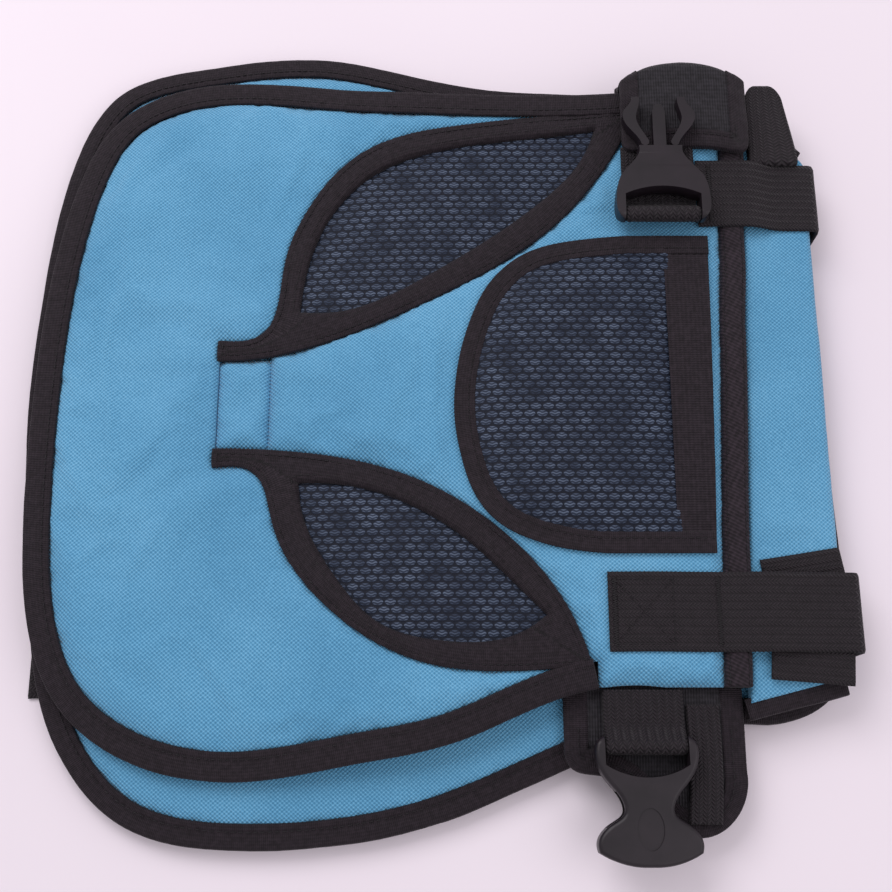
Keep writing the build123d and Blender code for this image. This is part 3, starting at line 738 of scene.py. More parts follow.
def webbing(name, route, side, width, seed, sway=0.25 * MM):
    """A flat woven strip along a route, with its width along side, slightly uneven."""
    side = np.array(side, float)
    ahead = np.vstack([route[1:] - route[:-1], route[-1:] - route[-2:-1]])
    ahead = (ahead + np.vstack([ahead[:1], ahead[:-1]])) / 2
    ahead /= np.linalg.norm(ahead, axis=1)[:, None]
    face = np.cross(side, ahead)
    face /= np.linalg.norm(face, axis=1)[:, None]
    along = lengths(route)
    columns = np.linspace(-0.5, 0.5, 25)
    edge = np.sqrt(np.maximum(0.0, 1 - np.maximum(0, (np.abs(columns) - 0.47) / 0.03) ** 2))
    edge = 0.35 + 0.65 * edge
    selvedge = 0.12 * MM * np.exp(-((np.abs(columns) - 0.455) / 0.02) ** 2)
    wave = np.array([[noise.noise((a / (22 * MM), c * 1.3, seed)) for c in columns]
                     for a in along]) * sway
    drift = wobble(along, 40 * MM, seed, 4.4) * 0.35 * MM
    upper = wave + WEBBING_THICK / 2 * edge + selvedge
    under = wave - WEBBING_THICK / 2 * edge
    across = np.r_[columns, columns[::-1]]
    lift = np.concatenate([upper, under[:, ::-1]], 1)
    grid = (route[:, None] + side * (across * width)[None, :, None]
            + side * drift[:, None, None] + face[:, None] * lift[:, :, None])
    uv = np.empty((len(route), len(across), 2))
    uv[:, :, 0] = (across + 0.5) * width
    uv[:, :, 1] = along[:, None]
    return grid_mesh(name, grid, WEBBING, False, uv)


# ---- spacer mesh
CELL_WIDTH = 6.0 * MM
CELL_HEIGHT = 3.7 * MM


def cell_pattern(points):
    """Height of the mesh's knitted lozenges over its ground, 0 to 1, at flat points."""
    row = np.floor(points[:, 1] / CELL_HEIGHT)
    across = points[:, 0] / CELL_WIDTH + 0.5 * np.mod(row, 2)
    u = across - np.floor(across) - 0.5
    v = points[:, 1] / CELL_HEIGHT - row - 0.5
    lozenge = smooth_step((1.0 - (np.abs(u) / 0.47) ** 3 - (np.abs(v) / 0.43) ** 2) / 0.5)
    strands = 0.5 + 0.5 * np.cos(2 * math.pi * (2.7 * v + 0.2 * np.cos(math.pi * u / 0.3)))
    return lozenge * (0.45 + 0.55 * strands)


def spacer_mesh():
    """Navy spacer mesh: the same lozenges as the geometry, with painted glints on the filaments on
    top.
    """
    s = Shader("spacer_mesh", Roughness=0.5, Sheen_Weight=0.04, Sheen_Roughness=0.4,
               Specular_IOR_Level=0.16)
    x, y, _ = s.axes()
    rows = y / CELL_HEIGHT
    row = s.math("FLOOR", rows)
    u = s.math("FRACT", x / CELL_WIDTH + row % 2.0 * 0.5) - 0.5
    v = rows - row - 0.5
    lozenge = 1.0 - (abs(u) / 0.47) ** 3.0 - (abs(v) / 0.43) ** 2.0
    arch = s.math("COSINE", u * (math.pi / 0.3)) * 0.2
    strands = s.math("COSINE", (v * 2.7 + arch) * (2 * math.pi))
    uneven = s.spread(s.noise(110, 3.0), 0.3, 0.7, 0.3, "LINEAR")
    # light: painted glints, a lighter colour on the raised filaments of each lozenge over the navy
    # ground; also used as the bump's height
    light = s.spread(lozenge, 0.0, 0.5, 0.0) * s.spread(strands, -0.5, 0.9, 0.25) * uneven
    knit = s.wave(x, 0.9 * MM) * s.wave(y, 0.6 * MM)
    tone = light + knit * 0.05
    colour = s.ramp(tone, [(0.0, (0.005, 0.007, 0.015)), (0.35, (0.029, 0.041, 0.072)),
                           (0.95, (0.11, 0.14, 0.2))])
    normal = s.bump(light * 0.6 + knit * 0.25, 0.25 * MM, 0.7)
    return s.finish(colour, normal=normal)


SPACER = spacer_mesh()


def mesh_sheet(name, loops, level, thick, seed, puff, puff_width):
    """A spacer-mesh sheet inside loops, at a level given by x, domed and knitted."""
    points, faces = fill(loops, 0.75 * MM)
    inner = distance_to(points, rim_points([loop[:, :2] for loop in loops]))
    dome = puff * (1 - np.exp(-inner / puff_width))
    top = (level(points[:, 0]) + dome + 0.5 * MM * wander(points, 22 * MM, seed) * smooth_step(
        inner / (8 * MM)) + 0.4 * MM * cell_pattern(points))
    under = top - thick - 0.3 * MM
    vertices, all_faces = closed_shell(points, faces, top, under)
    return mesh_object(name, vertices, all_faces, SPACER)


# ---- padded panels


def top_run(node):
    """The lowest and highest corner of a shoulder webbing's run over the front panel."""
    places = cad_places(node)
    chosen = places[places[:, 2] > places[:, 2].max() - 1.0 * MM]
    return chosen.min(0), chosen.max(0)


LYING_ON_FRONT = [corners("pocket_binding"), corners("belt_webbing_upper"),
                  corners("belt_end_upper_binding"), top_run("shoulder_webbing_lower"),
                  top_run("shoulder_webbing_upper")]
HIGHEST_PUFF = 4.5 * MM


def ceiling(points, level):
    """How high a panel's cloth may rise at flat points: little where something lies on it."""
    most = np.full(len(points), HIGHEST_PUFF)
    for low, high in LYING_ON_FRONT:
        most = np.minimum(most, HIGHEST_PUFF * (1 - near_box(points, low, high, 14 * MM)))
    return level + 0.1 * MM + most


def panel_sheet(node, level, seed, drop=2.6 * MM, fade=7 * MM, rise=1.2 * MM, slack=0.012,
                pressure=0.35, most=5.0 * MM):
    """A padded panel's cloth inside a CAD node's outline, sewn down at its edge."""
    loops = rims(node, PANEL_STEP)
    points, faces = fill(loops, PANEL_STEP)
    inner = distance_to(points, rim_points([loop[:, :2] for loop in loops]))
    inside_share = smooth_step(inner / (16 * MM))
    top = level(points[:, 0]) - drop * np.exp(-inner / fade) + rise * inside_share
    top = top + 1.3 * MM * wander(points, 42 * MM, seed) * inside_share
    crease = 1 - np.abs(wander(points * [1, 0.45], 26 * MM, seed + 2)) * 4
    top = top + 0.7 * MM * np.maximum(crease, 0) * inside_share
    pucker = wander(points, 8 * MM, seed + 5) * np.exp(-((inner - 5 * MM) / (4 * MM)) ** 2)
    top = top + 0.5 * MM * pucker
    return {"points": np.c_[points, top], "faces": faces, "sewn": inner < 0.2 * MM,
            "inner": inner, "pressure": pressure, "slack": slack, "most": most}


def lining_under(name, sheet, low, thick, seed, node):
    """The lower half of a padded panel: closed, and rounded up towards its sewn edge."""
    points = sheet["points"][:, :2]
    under = low(points[:, 0]) + 2.0 * MM * np.exp(-sheet["inner"] / (6 * MM))
    under = under + 0.2 * MM * np.abs(wander(points, 20 * MM, seed))
    top = low(points[:, 0]) + thick
    vertices, faces = closed_shell(points, sheet["faces"], top, under)
    piece = piece_of(mesh_object(name, vertices, faces, KNIT), CARRIER, "lining", node)


front_high = level_over("front_binding")
front_height = (corners("hem_tape")[1] - corners("hem_tape")[0])[2]
back_box = corners("back_panel_binding")


def front_low(x):
    """The front panel's underside, at any x."""
    return front_high(x) - front_height


def flat_level(height):
    """The same height everywhere."""
    return lambda x: np.full(np.shape(x), height)


back_sheet = panel_sheet("back_panel_cover", flat_level(back_box[1][2]), 11, most=2.0 * MM,
                         slack=0.006, pressure=0.2, rise=0.0)
wing_sheet = panel_sheet("wing_cover", front_high, 21, pressure=0.45, drop=3.4 * MM,
                         fade=5 * MM)
centre_sheet = panel_sheet("centre_panel_cover", front_high, 31, slack=0.016, pressure=0.6,
                           rise=1.6 * MM, drop=4.4 * MM, fade=4 * MM)
neck_sheet = panel_sheet("neck_band", lambda x: front_high(x) - 1.4 * MM, 41, slack=0.02,
                         drop=3.4 * MM, fade=2.5 * MM, rise=0.6 * MM, most=1.6 * MM)
simulated([back_sheet, wing_sheet, centre_sheet, neck_sheet])


def make_panels():
    """The covers and linings of the back panel, the front panel's wing and centre, and the neck."""
    front_parts = [("wing", wing_sheet), ("centre_panel", centre_sheet)]
    for name, sheet in front_parts:
        points = sheet["points"]
        flat = points[:, :2]
        level = front_high(points[:, 0])
        points[:, 2] = np.minimum(points[:, 2], ceiling(flat, level))
        middle = front_low(points[:, 0]) + 0.35 * front_height
        cover = skin(name + "_cloth", points, sheet["faces"], middle, BLUE)
        piece_of(cover, CARRIER, "woven_cover", name + "_cover", name + "_foam")
        lining_under(name + "_inner_lining", sheet, front_low, 0.34 * front_height, 3,
                     name + "_lining")
    neck = skin("neck_band_cloth", neck_sheet["points"], neck_sheet["faces"],
                front_low(neck_sheet["points"][:, 0]) + 0.3 * MM, BLUE)
    piece_of(neck, CARRIER, "woven_cover", "neck_band")
    points = back_sheet["points"]
    points[:, 2] = np.minimum(points[:, 2], back_box[1][2] + 0.1 * MM)
    low = back_box[0][2]
    cover = skin("back_panel_cloth", points, back_sheet["faces"],
                 np.full(len(points), low + 4 * MM), BLUE)
    piece_of(cover, CARRIER, "woven_cover", "back_panel_cover", "back_panel_foam")
    lining_under("back_panel_inner_lining", back_sheet, flat_level(low), 3.9 * MM, 5,
                 "back_panel_lining")


# ---- bindings and seams
BINDING = 12.0 * MM
BACK_BINDING = 10.5 * MM
POCKET_BINDING = 9.0 * MM
LAP = 0.9 * MM              # how far a binding lies over the cloth beside it


def make_back_binding():
    """Tape folded round the back panel, with its seam."""
    path = turned_inward(rims("back_panel_binding", TAPE_STEP)[0])
    low, high = flat_level(back_box[0][2]), flat_level(back_box[1][2])
    piece = tape("back_panel_edge_tape", path, low, high, BACK_BINDING + LAP, True, 1.0)
    piece_of(piece, CARRIER, "binding_tape", "back_panel_binding")
    line = inner_line(path, BACK_BINDING - 2.2 * MM, lambda x: high(x) - 0.55 * MM)
    stitched("back_panel_seam", [line], CARRIER)


def side_line(node, choose):
    """The x of a CAD node's leaning left (np.min) or right (np.max) side as a function of y."""
    low, high = corners(node)
    places = cad_places(node)
    ends = [choose(places[np.abs(places[:, 1] - y) < 0.1 * MM, 0]) for y in (low[1], high[1])]
    return lambda y: ends[0] + (ends[1] - ends[0]) * (y - low[1]) / (high[1] - low[1])


hem_left = side_line("hem_tape", np.min)
hem_right = side_line("hem_tape", np.max)


def front_path():
    """The outer line of the front panel's binding, from its lower end round to the hem."""
    loop = rims("front_binding", TAPE_STEP)[0]
    lower = loop[:, 1] < 0
    stop = loop[lower, 0].max()
    cut = hem_left(loop[:, 1])
    ends = (loop[:, 0] > cut - 0.3 * MM) | (lower & (loop[:, 0] > stop - 0.05 * MM))
    return turned_inward(open_run(loop, ends))


def make_front_binding():
    """Tape folded round the front panel, open between its lower end and the hem."""
    path = front_path()
    piece = tape("front_edge_tape", path, front_low, front_high, BINDING + LAP, False, 2.0)
    piece_of(piece, CARRIER, "binding_tape", "front_binding")
    line = inner_line(path, BINDING - 2.2 * MM, lambda x: front_high(x) - 0.5 * MM, False)
    stitched("front_seam", [line], CARRIER)


def flat_binding(name, outer, inner, level, node, seed):
    """Tape laid flat round an opening: rounded at both edges, puckered along its seams."""
    grown = [inner_line(outer, -LAP, level, True)[:-1], inner_line(inner, LAP, level, True)[:-1]]
    points, faces = fill(grown, 1.5 * MM)
    from_outer = distance_to(points, rim_points([grown[0][:, :2]]))
    from_inner = distance_to(points, rim_points([grown[1][:, :2]]))
    top = level(points[:, 0])
    top = top - 1.4 * MM * np.exp(-from_outer / (3.0 * MM)) * 0.5
    top = top - 2.2 * MM * (1 - np.sqrt(1 - (1 - np.minimum(from_inner / (3 * MM), 1)) ** 2))
    edge = np.minimum(from_outer, from_inner)
    top = top - 0.35 * MM * np.exp(-((edge - 3.0 * MM) / (0.9 * MM)) ** 2)
    top = top + 0.30 * MM * wander(points, 5 * MM, seed) + 0.5 * MM * wander(
        points, 25 * MM, seed + 3)
    piece = skin(name, np.c_[points, top], faces, top - 2.4 * MM, TAPE)
    ribs_along(piece, grown[0])
    piece_of(piece, CARRIER, "binding_tape", node)


def ribs_along(piece, loop):
    """UV places whose v runs along a closed loop, so that a tape's ribs cross it."""
    closed = np.vstack([loop, loop[:1]])
    whole = lengths(closed)[-1]
    fine = np.linspace(0, whole, 4 * len(loop))[:-1]
    tree = kdtree.KDTree(len(fine))
    for index, (x, y, _) in enumerate(along_path(closed, fine)):
        tree.insert((x, y, 0), index)
    tree.balance()
    found = [tree.find((v.co.x, v.co.y, 0)) for v in piece.data.vertices]
    layer = piece.data.uv_layers.new(name="weave")
    for face in piece.data.polygons:
        along = np.array([fine[found[i][1]] for i in face.vertices])
        if along.max() - along.min() > whole / 2:
            along[along < whole / 2] += whole
        for corner, index, at in zip(face.loop_indices, face.vertices, along):
            layer.data[corner].uv = (found[index][2], at)


def make_windows():
    """The two mesh windows with their bindings and seams."""
    lines = []
    for which, seed in (("upper", 3.0), ("lower", 4.0)):
        outer, inner = rims("window_binding_" + which, TAPE_STEP)

        def level(x):
            return front_high(x) - 0.4 * MM

        flat_binding(f"window_{which}_tape", outer, inner, level, "window_binding_" + which, seed)
        lines.append(inner_line(outer, 1.8 * MM, lambda x: level(x) - 0.35 * MM))
        lines.append(inner_line(inner, -2.6 * MM, lambda x: level(x) - 0.35 * MM))
        grown = [inner_line(inner, -3.0 * MM, level)[:-1]]
        sheet = mesh_sheet(f"window_{which}_mesh", grown,
                           lambda x: front_high(x) - 4.4 * MM, 1.8 * MM, seed, 1.6 * MM, 12 * MM)
        piece_of(sheet, CARRIER, "spacer_mesh", "mesh_window_" + which)
    stitched("window_seams", lines, CARRIER)


def make_pocket():
    """The mesh pocket: bound edge, domed mesh and a ribbed elastic at its mouth."""
    loop = rims("pocket_mesh", TAPE_STEP)[0]
    base = corners("pocket_binding")[0][2]
    mesh_high = corners("pocket_mesh")[1][2]
    ring = rims("pocket_binding", TAPE_STEP)[0]
    edge = side_line("pocket_binding", np.max)
    ends = ring[:, 0] > edge(ring[:, 1]) - 0.1 * MM
    path = turned_inward(open_run(ring, ends))
    piece = tape("pocket_edge_tape", path, flat_level(base + 0.1 * MM), flat_level(base + 3.4 * MM),
                 POCKET_BINDING + LAP, False, 6.0)
    piece_of(piece, CARRIER, "binding_tape", "pocket_binding")
    lines = [inner_line(path, POCKET_BINDING - 2.0 * MM, flat_level(base + 3.15 * MM), False)]
    stitched("pocket_seam", lines, CARRIER)
    grown = [inner_line(loop, -2.5 * MM, flat_level(base))[:-1]]
    sheet = mesh_sheet("pocket_mesh_cloth", grown, flat_level(base + 1.3 * MM), 1.2 * MM, 8.0,
                       mesh_high - base - 0.9 * MM, 11 * MM)
    piece_of(sheet, CARRIER, "spacer_mesh", "pocket_mesh")
    make_elastic(base, edge)


def make_elastic(base, edge):
    """A ribbed elastic across the pocket's mouth, gathered and bowed up in the middle."""
    low, high = corners("pocket_elastic")
    step = 0.6 * MM
    along = np.arange(low[1] - 6 * MM, high[1] + 6 * MM, step)
    half = (high[1] - low[1]) / 2 + 6 * MM
    bow = 1 - ((along - (low[1] + high[1]) / 2) / half) ** 2
    share = np.linspace(0, 1, 29)
    left = low[0] - 2.5 * MM
    ribs = 0.22 * MM * np.cos(share * 2 * math.pi * 6.5)
    gather = wobble(along, 7 * MM, 3.3, 1.0) * 0.7 * MM
    height = base + 1.6 * MM + 3.2 * MM * bow[:, None] ** 0.7 + ribs[None, :]
    height = height + gather[:, None] * bow[:, None] * (0.4 + 0.6 * share[None, :])
    across = left + np.r_[share, share[::-1]][None, :] * (edge(along) - left)[:, None]
    grid = rings(across, along[:, None], np.concatenate([height, height[:, ::-1] - 1.2 * MM], 1))
    piece = grid_mesh("pocket_mouth_elastic", grid, ELASTIC, False)
    piece_of(piece, CARRIER, "elastic", "pocket_elastic")


def rounded_section(width, height, left, right, step=1.0 * MM):
    """A closed cross-section: a rectangle with its left and right edges rounded."""
    points = []
    for centre_x, centre_z, radius, start in (
            (width / 2 - right, height / 2 - right, right, 0),
            (-width / 2 + left, height / 2 - left, left, 90),
            (-width / 2 + left, -height / 2 + left, left, 180),
            (width / 2 - right, -height / 2 + right, right, 270)):
        for turn in np.radians(np.linspace(start, start + 90, 7)):
            points.append((centre_x + radius * math.cos(turn), centre_z + radius * math.sin(turn)))
    return evenly(np.array(points + points[:1]), step)[:-1]


def rings(x, y, z):
    """Rings of points from their x, y and z, which broadcast together."""
    return np.stack(np.broadcast_arrays(x, y, z), -1)


def make_hem_and_band():
    """The twill hem tape, and the blue band of the folded edge beside it with bound ends."""
    low, high = corners("hem_tape")
    along = np.arange(low[1], high[1] + 0.1 * MM, 1.5 * MM)
    left, right = hem_left(along), hem_right(along)
    width = (right - left)[0]
    section = rounded_section(width + LAP, high[2] - low[2] + 0.4 * MM, 3.0 * MM, 3.0 * MM,
                              0.8 * MM)
    middle = (left + right) / 2 - LAP / 2
    roll = wobble(along, 30 * MM, 2.2, 5.0) * 0.7 * MM
    puck = np.array([[noise.noise((y / (5 * MM), x / (4 * MM), 9.0)) for x, _ in section]
                     for y in along]) * 0.22 * MM
    x, z = section.T
    seam_x = 4.4 * MM           # the seams lie this far from the tape's middle
    crown = 0.5 * MM * np.cos(x / width * math.pi)
    groove = 0.4 * MM * np.exp(-((np.abs(x) - seam_x) / (0.6 * MM)) ** 2)
    height = (low[2] + high[2]) / 2 + z + np.where(z > 0, crown - groove, 0) + puck
    grid = rings((middle + roll)[:, None] + x, along[:, None], height)
    piece = grid_mesh("waist_hem_tape", grid, HEM, False)
    piece_of(piece, CARRIER, "binding_tape", "hem_tape")
    top = np.full(len(along), high[2] + 0.12 * MM)
    lines = [np.c_[middle + side + roll, along, top] for side in (-seam_x, seam_x)]
    stitched("hem_seams", lines, CARRIER)
    make_band()


def band_slants():
    """How far in y the band's lower and upper ends move from the hem to the waist end."""
    low, high = corners("side_band")
    places = cad_places("side_band")
    outer = places[places[:, 0] > high[0] - 0.05 * MM, 1]
    return outer.min() - low[1], outer.max() - high[1]


def make_band():
    """The blue waist-end band: a soft roll with gentle dents and slanting bound ends."""
    low, high = corners("side_band")
    rise, fall = band_slants()
    middle = (low + high) / 2
    section = rounded_section(high[0] - low[0], high[2] - low[2], 2.0 * MM, 5.2 * MM)
    x, z = section.T
    along = np.arange(low[1], high[1] + 0.1 * MM, 2.0 * MM)
    flat = np.array([[across + middle[0], y] for y in along for across in x])
    dents = wander(flat, 45 * MM, 3.0) * 1.3 * MM + wander(flat, 15 * MM, 6.0) * 0.6 * MM
    dents = dents.reshape(len(along), len(section))
    crown = 0.9 * MM * np.cos(x / (high[0] - low[0]) * math.pi)
    ends = smooth_step(np.minimum(along - along[0], along[-1] - along) / (14 * MM))
    strap = np.zeros(len(along))
    for node in ("shoulder_webbing_lower", "shoulder_webbing_upper", "shoulder_webbing_slack",
                 "shoulder_webbing_spare"):
        strap_low, strap_high = corners(node)
        outside = np.maximum(np.maximum(strap_low[1] - along, along - strap_high[1]), 0)
        strap = np.maximum(strap, 1 - smooth_step(outside / (12 * MM)))
    lift = (crown[None, :] * ends[:, None] + dents) * (z > 0)
    lift = np.where(lift > 0, lift * (1 - strap)[:, None], lift)
    shrink = 1 - 0.22 * (1 - ends)
    reach = (x - x.min()) / np.ptp(x)
    begin, finish = low[1] + rise * reach, high[1] + fall * reach
    share = (along - low[1]) / (high[1] - low[1])
    ys = begin[None, :] + share[:, None] * (finish - begin)[None, :]
    left = hem_right(ys) + GAP
    grid = rings(left + (high[0] - left) * reach, ys, middle[2] + z * shrink[:, None] + lift)
    piece = grid_mesh("waist_end_band", grid, BLUE, False)
    piece_of(piece, CARRIER, "woven_cover", "side_band")
    trim_low, trim_high = corners("side_band_binding")
    bottom, top = flat_level(trim_low[2]), flat_level(trim_high[2] - 0.6 * MM)
    ends = [("band_end_tape_lower", trim_low[1], rise, low[1], ["side_band_binding"]),
            ("band_end_tape_upper", trim_high[1], fall, high[1], [])]
    for name, y, slant, band_edge, nodes in ends:
        start = hem_right(y) + GAP
        xs = np.arange(start, high[0] - GAP, 1.5 * MM)
        share = (xs - start) / (high[0] - start)
        path = np.c_[xs, y + slant * share, np.zeros(len(xs))]
        if slant < 0:
            path = path[::-1]
        piece = tape(name, path, bottom, top, abs(band_edge - y) + 1.5 * MM, False, 9.0)
        piece_of(piece, CARRIER, "binding_tape", *nodes)


# ---- waist belt


BELT_SEAM = 6.6 * MM        # distance of the belt's seams from its edge


def belt_pad(name, loop, low, high, seed, bent=None):
    """A closed, crowned belt pad inside a flat outline, optionally bent along a route."""
    loops = [resampled(loop, PANEL_STEP)]
    points, faces = fill(loops, PANEL_STEP)
    inner = distance_to(points, rim_points([loops[0][:, :2]]))
    crown = 1.4 * MM * np.exp(-inner / (5 * MM))
    ripple = 0.35 * MM * wander(points, 12 * MM, seed) + 0.3 * MM * wander(points, 30 * MM, seed)
    top = high - crown + ripple
    under = low + crown - 0.3 * MM * wander(points, 14 * MM, seed + 4)
    vertices, all_faces = closed_shell(points, faces, top, under)
    if bent is not None:
        vertices = bent(vertices)
    piece = mesh_object(name, vertices, all_faces, KNIT)
    outward(piece)
    return piece


def bending(piece, node):
    """Hides the CAD node that a tape or webbing stands for, and bakes the piece's placement into its
    mesh.
    """
    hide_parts(node)
    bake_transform(piece)


class BeltTurn:
    """Bends flat belt pieces round the front panel's edge, and keeps the turn's sizes.

    In the flat, y runs along the belt and z from its middle layer; the turn starts at start."""

    def __init__(self):
        low, high = corners("belt_turn_upper")
        belt_low, belt_high = corners("belt_binding")
        self.thick = belt_high[2] - belt_low[2]
        self.centre_y, self.centre_z = low[1], high[2]
        self.radius = high[1] - low[1] - self.thick / 2
        self.start = low[1]
        self.left, self.right = low[0], high[0]
        tip = corners("belt_end_upper_binding")[0][1]
        self.end = self.start + math.pi * self.radius + (self.start - tip)

    def __call__(self, vertices):
        x, y, z = np.array(vertices, float).T
        turn = np.clip((y - self.start) / self.radius, 0, math.pi)
        past = np.maximum(y - self.start - math.pi * self.radius, 0)
        before = np.minimum(y - self.start, 0)
        edge = np.exp(-np.maximum(np.minimum(x - self.left, self.right - x), 0) / (10 * MM))
        reach = self.radius - z - 3.6 * MM * edge * np.sin(turn) ** 2
        broad = np.exp(-np.maximum(np.minimum(x - self.left, self.right - x), 0) / (15 * MM))
        drawn = 7.0 * MM * edge * smooth_step(turn / math.pi)
        drawn = drawn + (1.2 * MM + 6.0 * MM * broad) * np.sin(turn)
        crumple = 1.1 * MM * wander(np.stack([x, y], 1), 13 * MM, 4.0) * smooth_step(turn / 0.8)
        return np.stack([
            x, self.centre_y + before - past - drawn + reach * np.sin(turn),
            self.centre_z - (reach + crumple * np.sin(turn) ** 2) * np.cos(turn)
            - 0.5 * crumple * (turn > 3)], 1)


def make_belt():
    """The padded waist belt: its fixed middle, and its two ends."""
    low, high = corners("belt_binding")
    middle = (low + high) / 2
    hidden = 38 * MM            # how far the ends run under the front panel
    along = np.arange(low[1] + hidden, high[1] - hidden, 4 * MM)
    x, z = rounded_section(high[0] - low[0], high[2] - low[2], 3.2 * MM, 3.2 * MM).T
    swell = 0.97 + 0.03 * np.cos(along / (9 * MM))
    grid = rings(middle[0] + x, along[:, None], middle[2] + z * swell[:, None])
    piece = piece_of(grid_mesh("belt_middle", grid, KNIT, False), CARRIER, "lining",
                     "belt_lining", "belt_foam", "belt_cover", "belt_binding")
    make_lower_end(hidden, low, high)
    make_upper_end(hidden)


def make_lower_end(hidden, belt_low, belt_high):
    """The belt's lower end: pad, bound edge and seam."""
    loop = rims("belt_end_lower_cover", PANEL_STEP)[0]
    fold = loop[:, 1].max()
    loop = loop.copy()
    loop[loop[:, 1] > fold - 0.05 * MM, 1] += hidden
    low, high = belt_low[2], belt_high[2]
    pad = belt_pad("belt_lower_pad", loop, low, high, 5.0)
    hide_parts("belt_end_lower_lining", "belt_end_lower_foam", "belt_end_lower_cover")
    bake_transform(pad)
    ring = rims("belt_end_lower_binding", TAPE_STEP)[0]
    path = turned_inward(open_run(ring, ring[:, 1] > fold - 0.05 * MM))
    extra = np.arange(2, hidden / MM, 2)[:, None] * MM * np.array([[0, 1, 0]])
    path = np.vstack([path[0] + extra[::-1], path, path[-1] + extra])
    edge = tape("belt_lower_edge_tape", path, flat_level(low), flat_level(high), 10.6 * MM, False,
                12.0)
    bending(edge, "belt_end_lower_binding")
    free = path[path[:, 1] < fold - 8 * MM]
    seam = inner_line(free, BELT_SEAM, flat_level(high - 0.4 * MM), False)
    stitched("belt_lower_seam", [seam], LOWER_END)


def make_upper_end(hidden):
    """The belt's upper end: it turns up round the panel's edge and back over it."""
    turn = BeltTurn()
    inset = 7 * MM
    corner = 9 * MM
    begin = turn.start - hidden
    half = turn.thick / 2

    def outline(margin):
        left, right, end = turn.left + margin, turn.right - margin, turn.end - margin
        bend = max(corner - margin, 2 * MM)
        arc = np.radians(np.linspace(0, 90, 8))
        right_turn = np.stack([right - bend + bend * np.cos(arc), end - bend + bend * np.sin(arc)], 1)
        left_turn = np.stack([left + bend - bend * np.sin(arc), end - bend + bend * np.cos(arc)], 1)
        points = np.vstack([[(right, begin)], right_turn, left_turn, [(left, begin)]])
        return np.c_[points, np.zeros(len(points))]

    pad = belt_pad("belt_upper_pad", outline(inset), -half, half, 8.0, turn)
    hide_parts("belt_turn_upper", "belt_end_upper_lining", "belt_end_upper_foam",
                "belt_end_upper_cover")
    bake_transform(pad)
    path = outline(0)
    whole = lengths(path)[-1]
    path = along_path(path, np.linspace(0, whole, round(whole / TAPE_STEP)))
    edge = tape("belt_upper_edge_tape", path, flat_level(-half), flat_level(half), 9 * MM, False,
                14.0)
    move(edge, turn(places_of(edge)))
    outward(edge)
    bending(edge, "belt_end_upper_binding")
    seam = inner_line(path[path[:, 1] > turn.end - 15 * MM], BELT_SEAM,
                      flat_level(-half + 0.35 * MM), False)
    stitched("belt_upper_seam", [turn(seam)], UPPER_END)


# ---- webbings and buckle


BOX_INSET = 3.5 * MM        # distance of a box seam from the webbing's edges


def bar_route(node, more=0.0):
    """The route of a webbing that wraps a buckle's bar and runs back doubled, and more."""
    low, high = corners(node)
    high[1] += more
    wrap = 4.2 * MM             # outside radius of the wrap
    bar_y, bar_z = low[1] + wrap, high[2] - wrap
    radius = wrap - WEBBING_THICK / 2
    layer = low[2] + WEBBING_THICK / 2
    tail = bar_y + 8 * MM
    arc = [(bar_y - radius * math.sin(t), bar_z - radius * math.cos(t))
           for t in np.radians(np.linspace(-25, 205, 16))]
    line = [(high[1], layer), (tail, layer), *arc, (tail, layer + WEBBING_THICK),
            (high[1], layer + WEBBING_THICK)]
    middle = (low[0] + high[0]) / 2
    return rounded_route([(middle, y, z) for y, z in line], 3 * MM, 1.2 * MM)


def box_stitch(x_low, x_high, y_low, y_high, z):
    """Seams of a sewn box with a cross in it."""
    box = np.array([(x_low, y_low, z), (x_high, y_low, z), (x_high, y_high, z),
                    (x_low, y_high, z), (x_low, y_low, z)])
    return [box, box[[0, 2]], box[[3, 1]]]


def make_belt_webbings():
    """The webbings that hold the two halves of the buckle on the belt's ends."""
    low, high = corners("belt_webbing_lower")
    piece = webbing("belt_webbing_lower_strip", bar_route("belt_webbing_lower", 6.5 * MM),
                    (1, 0, 0), high[0] - low[0], 1.5, 0.05 * MM)
    bending(piece, "belt_webbing_lower")
    low, high = corners("belt_webbing_upper")
    piece = webbing("belt_webbing_upper_strip", bar_route("belt_webbing_upper"), (1, 0, 0),
                    high[0] - low[0], 2.5, 0.05 * MM)
    piece_of(piece, UPPER_END, "webbing", "belt_webbing_upper")
    top = corners("belt_end_upper_binding")[0][2] + 2 * WEBBING_THICK + 0.1 * MM
    seams = box_stitch(low[0] + BOX_INSET, high[0] - BOX_INSET, high[1] - 22 * MM,
                       high[1] - 2 * MM, top)
    stitched("belt_webbing_upper_seams", seams, UPPER_END, BOX_STITCH)
    make_lower_tail()


def make_lower_tail():
    """The lower webbing's spare end, folded narrow beside it on the belt."""
    low, high = corners("belt_webbing_lower")
    belt_high = corners("belt_end_lower_binding")[1][2]
    x = high[0] + 9 * MM
    z = belt_high + 1.1 * MM
    tip = low[1] - 30 * MM
    route = rounded_route([(x, high[1], z), (x + 0.6 * MM, (high[1] + tip) / 2, z + 0.4 * MM),
                           (x - 1.2 * MM, tip, z - 0.2 * MM)], 12 * MM, 1.5 * MM)
    piece = webbing("belt_webbing_tail", route, (1, 0, 0), 15 * MM, 6.5, 0.5 * MM)
    piece_of(piece, LOWER_END, "webbing")


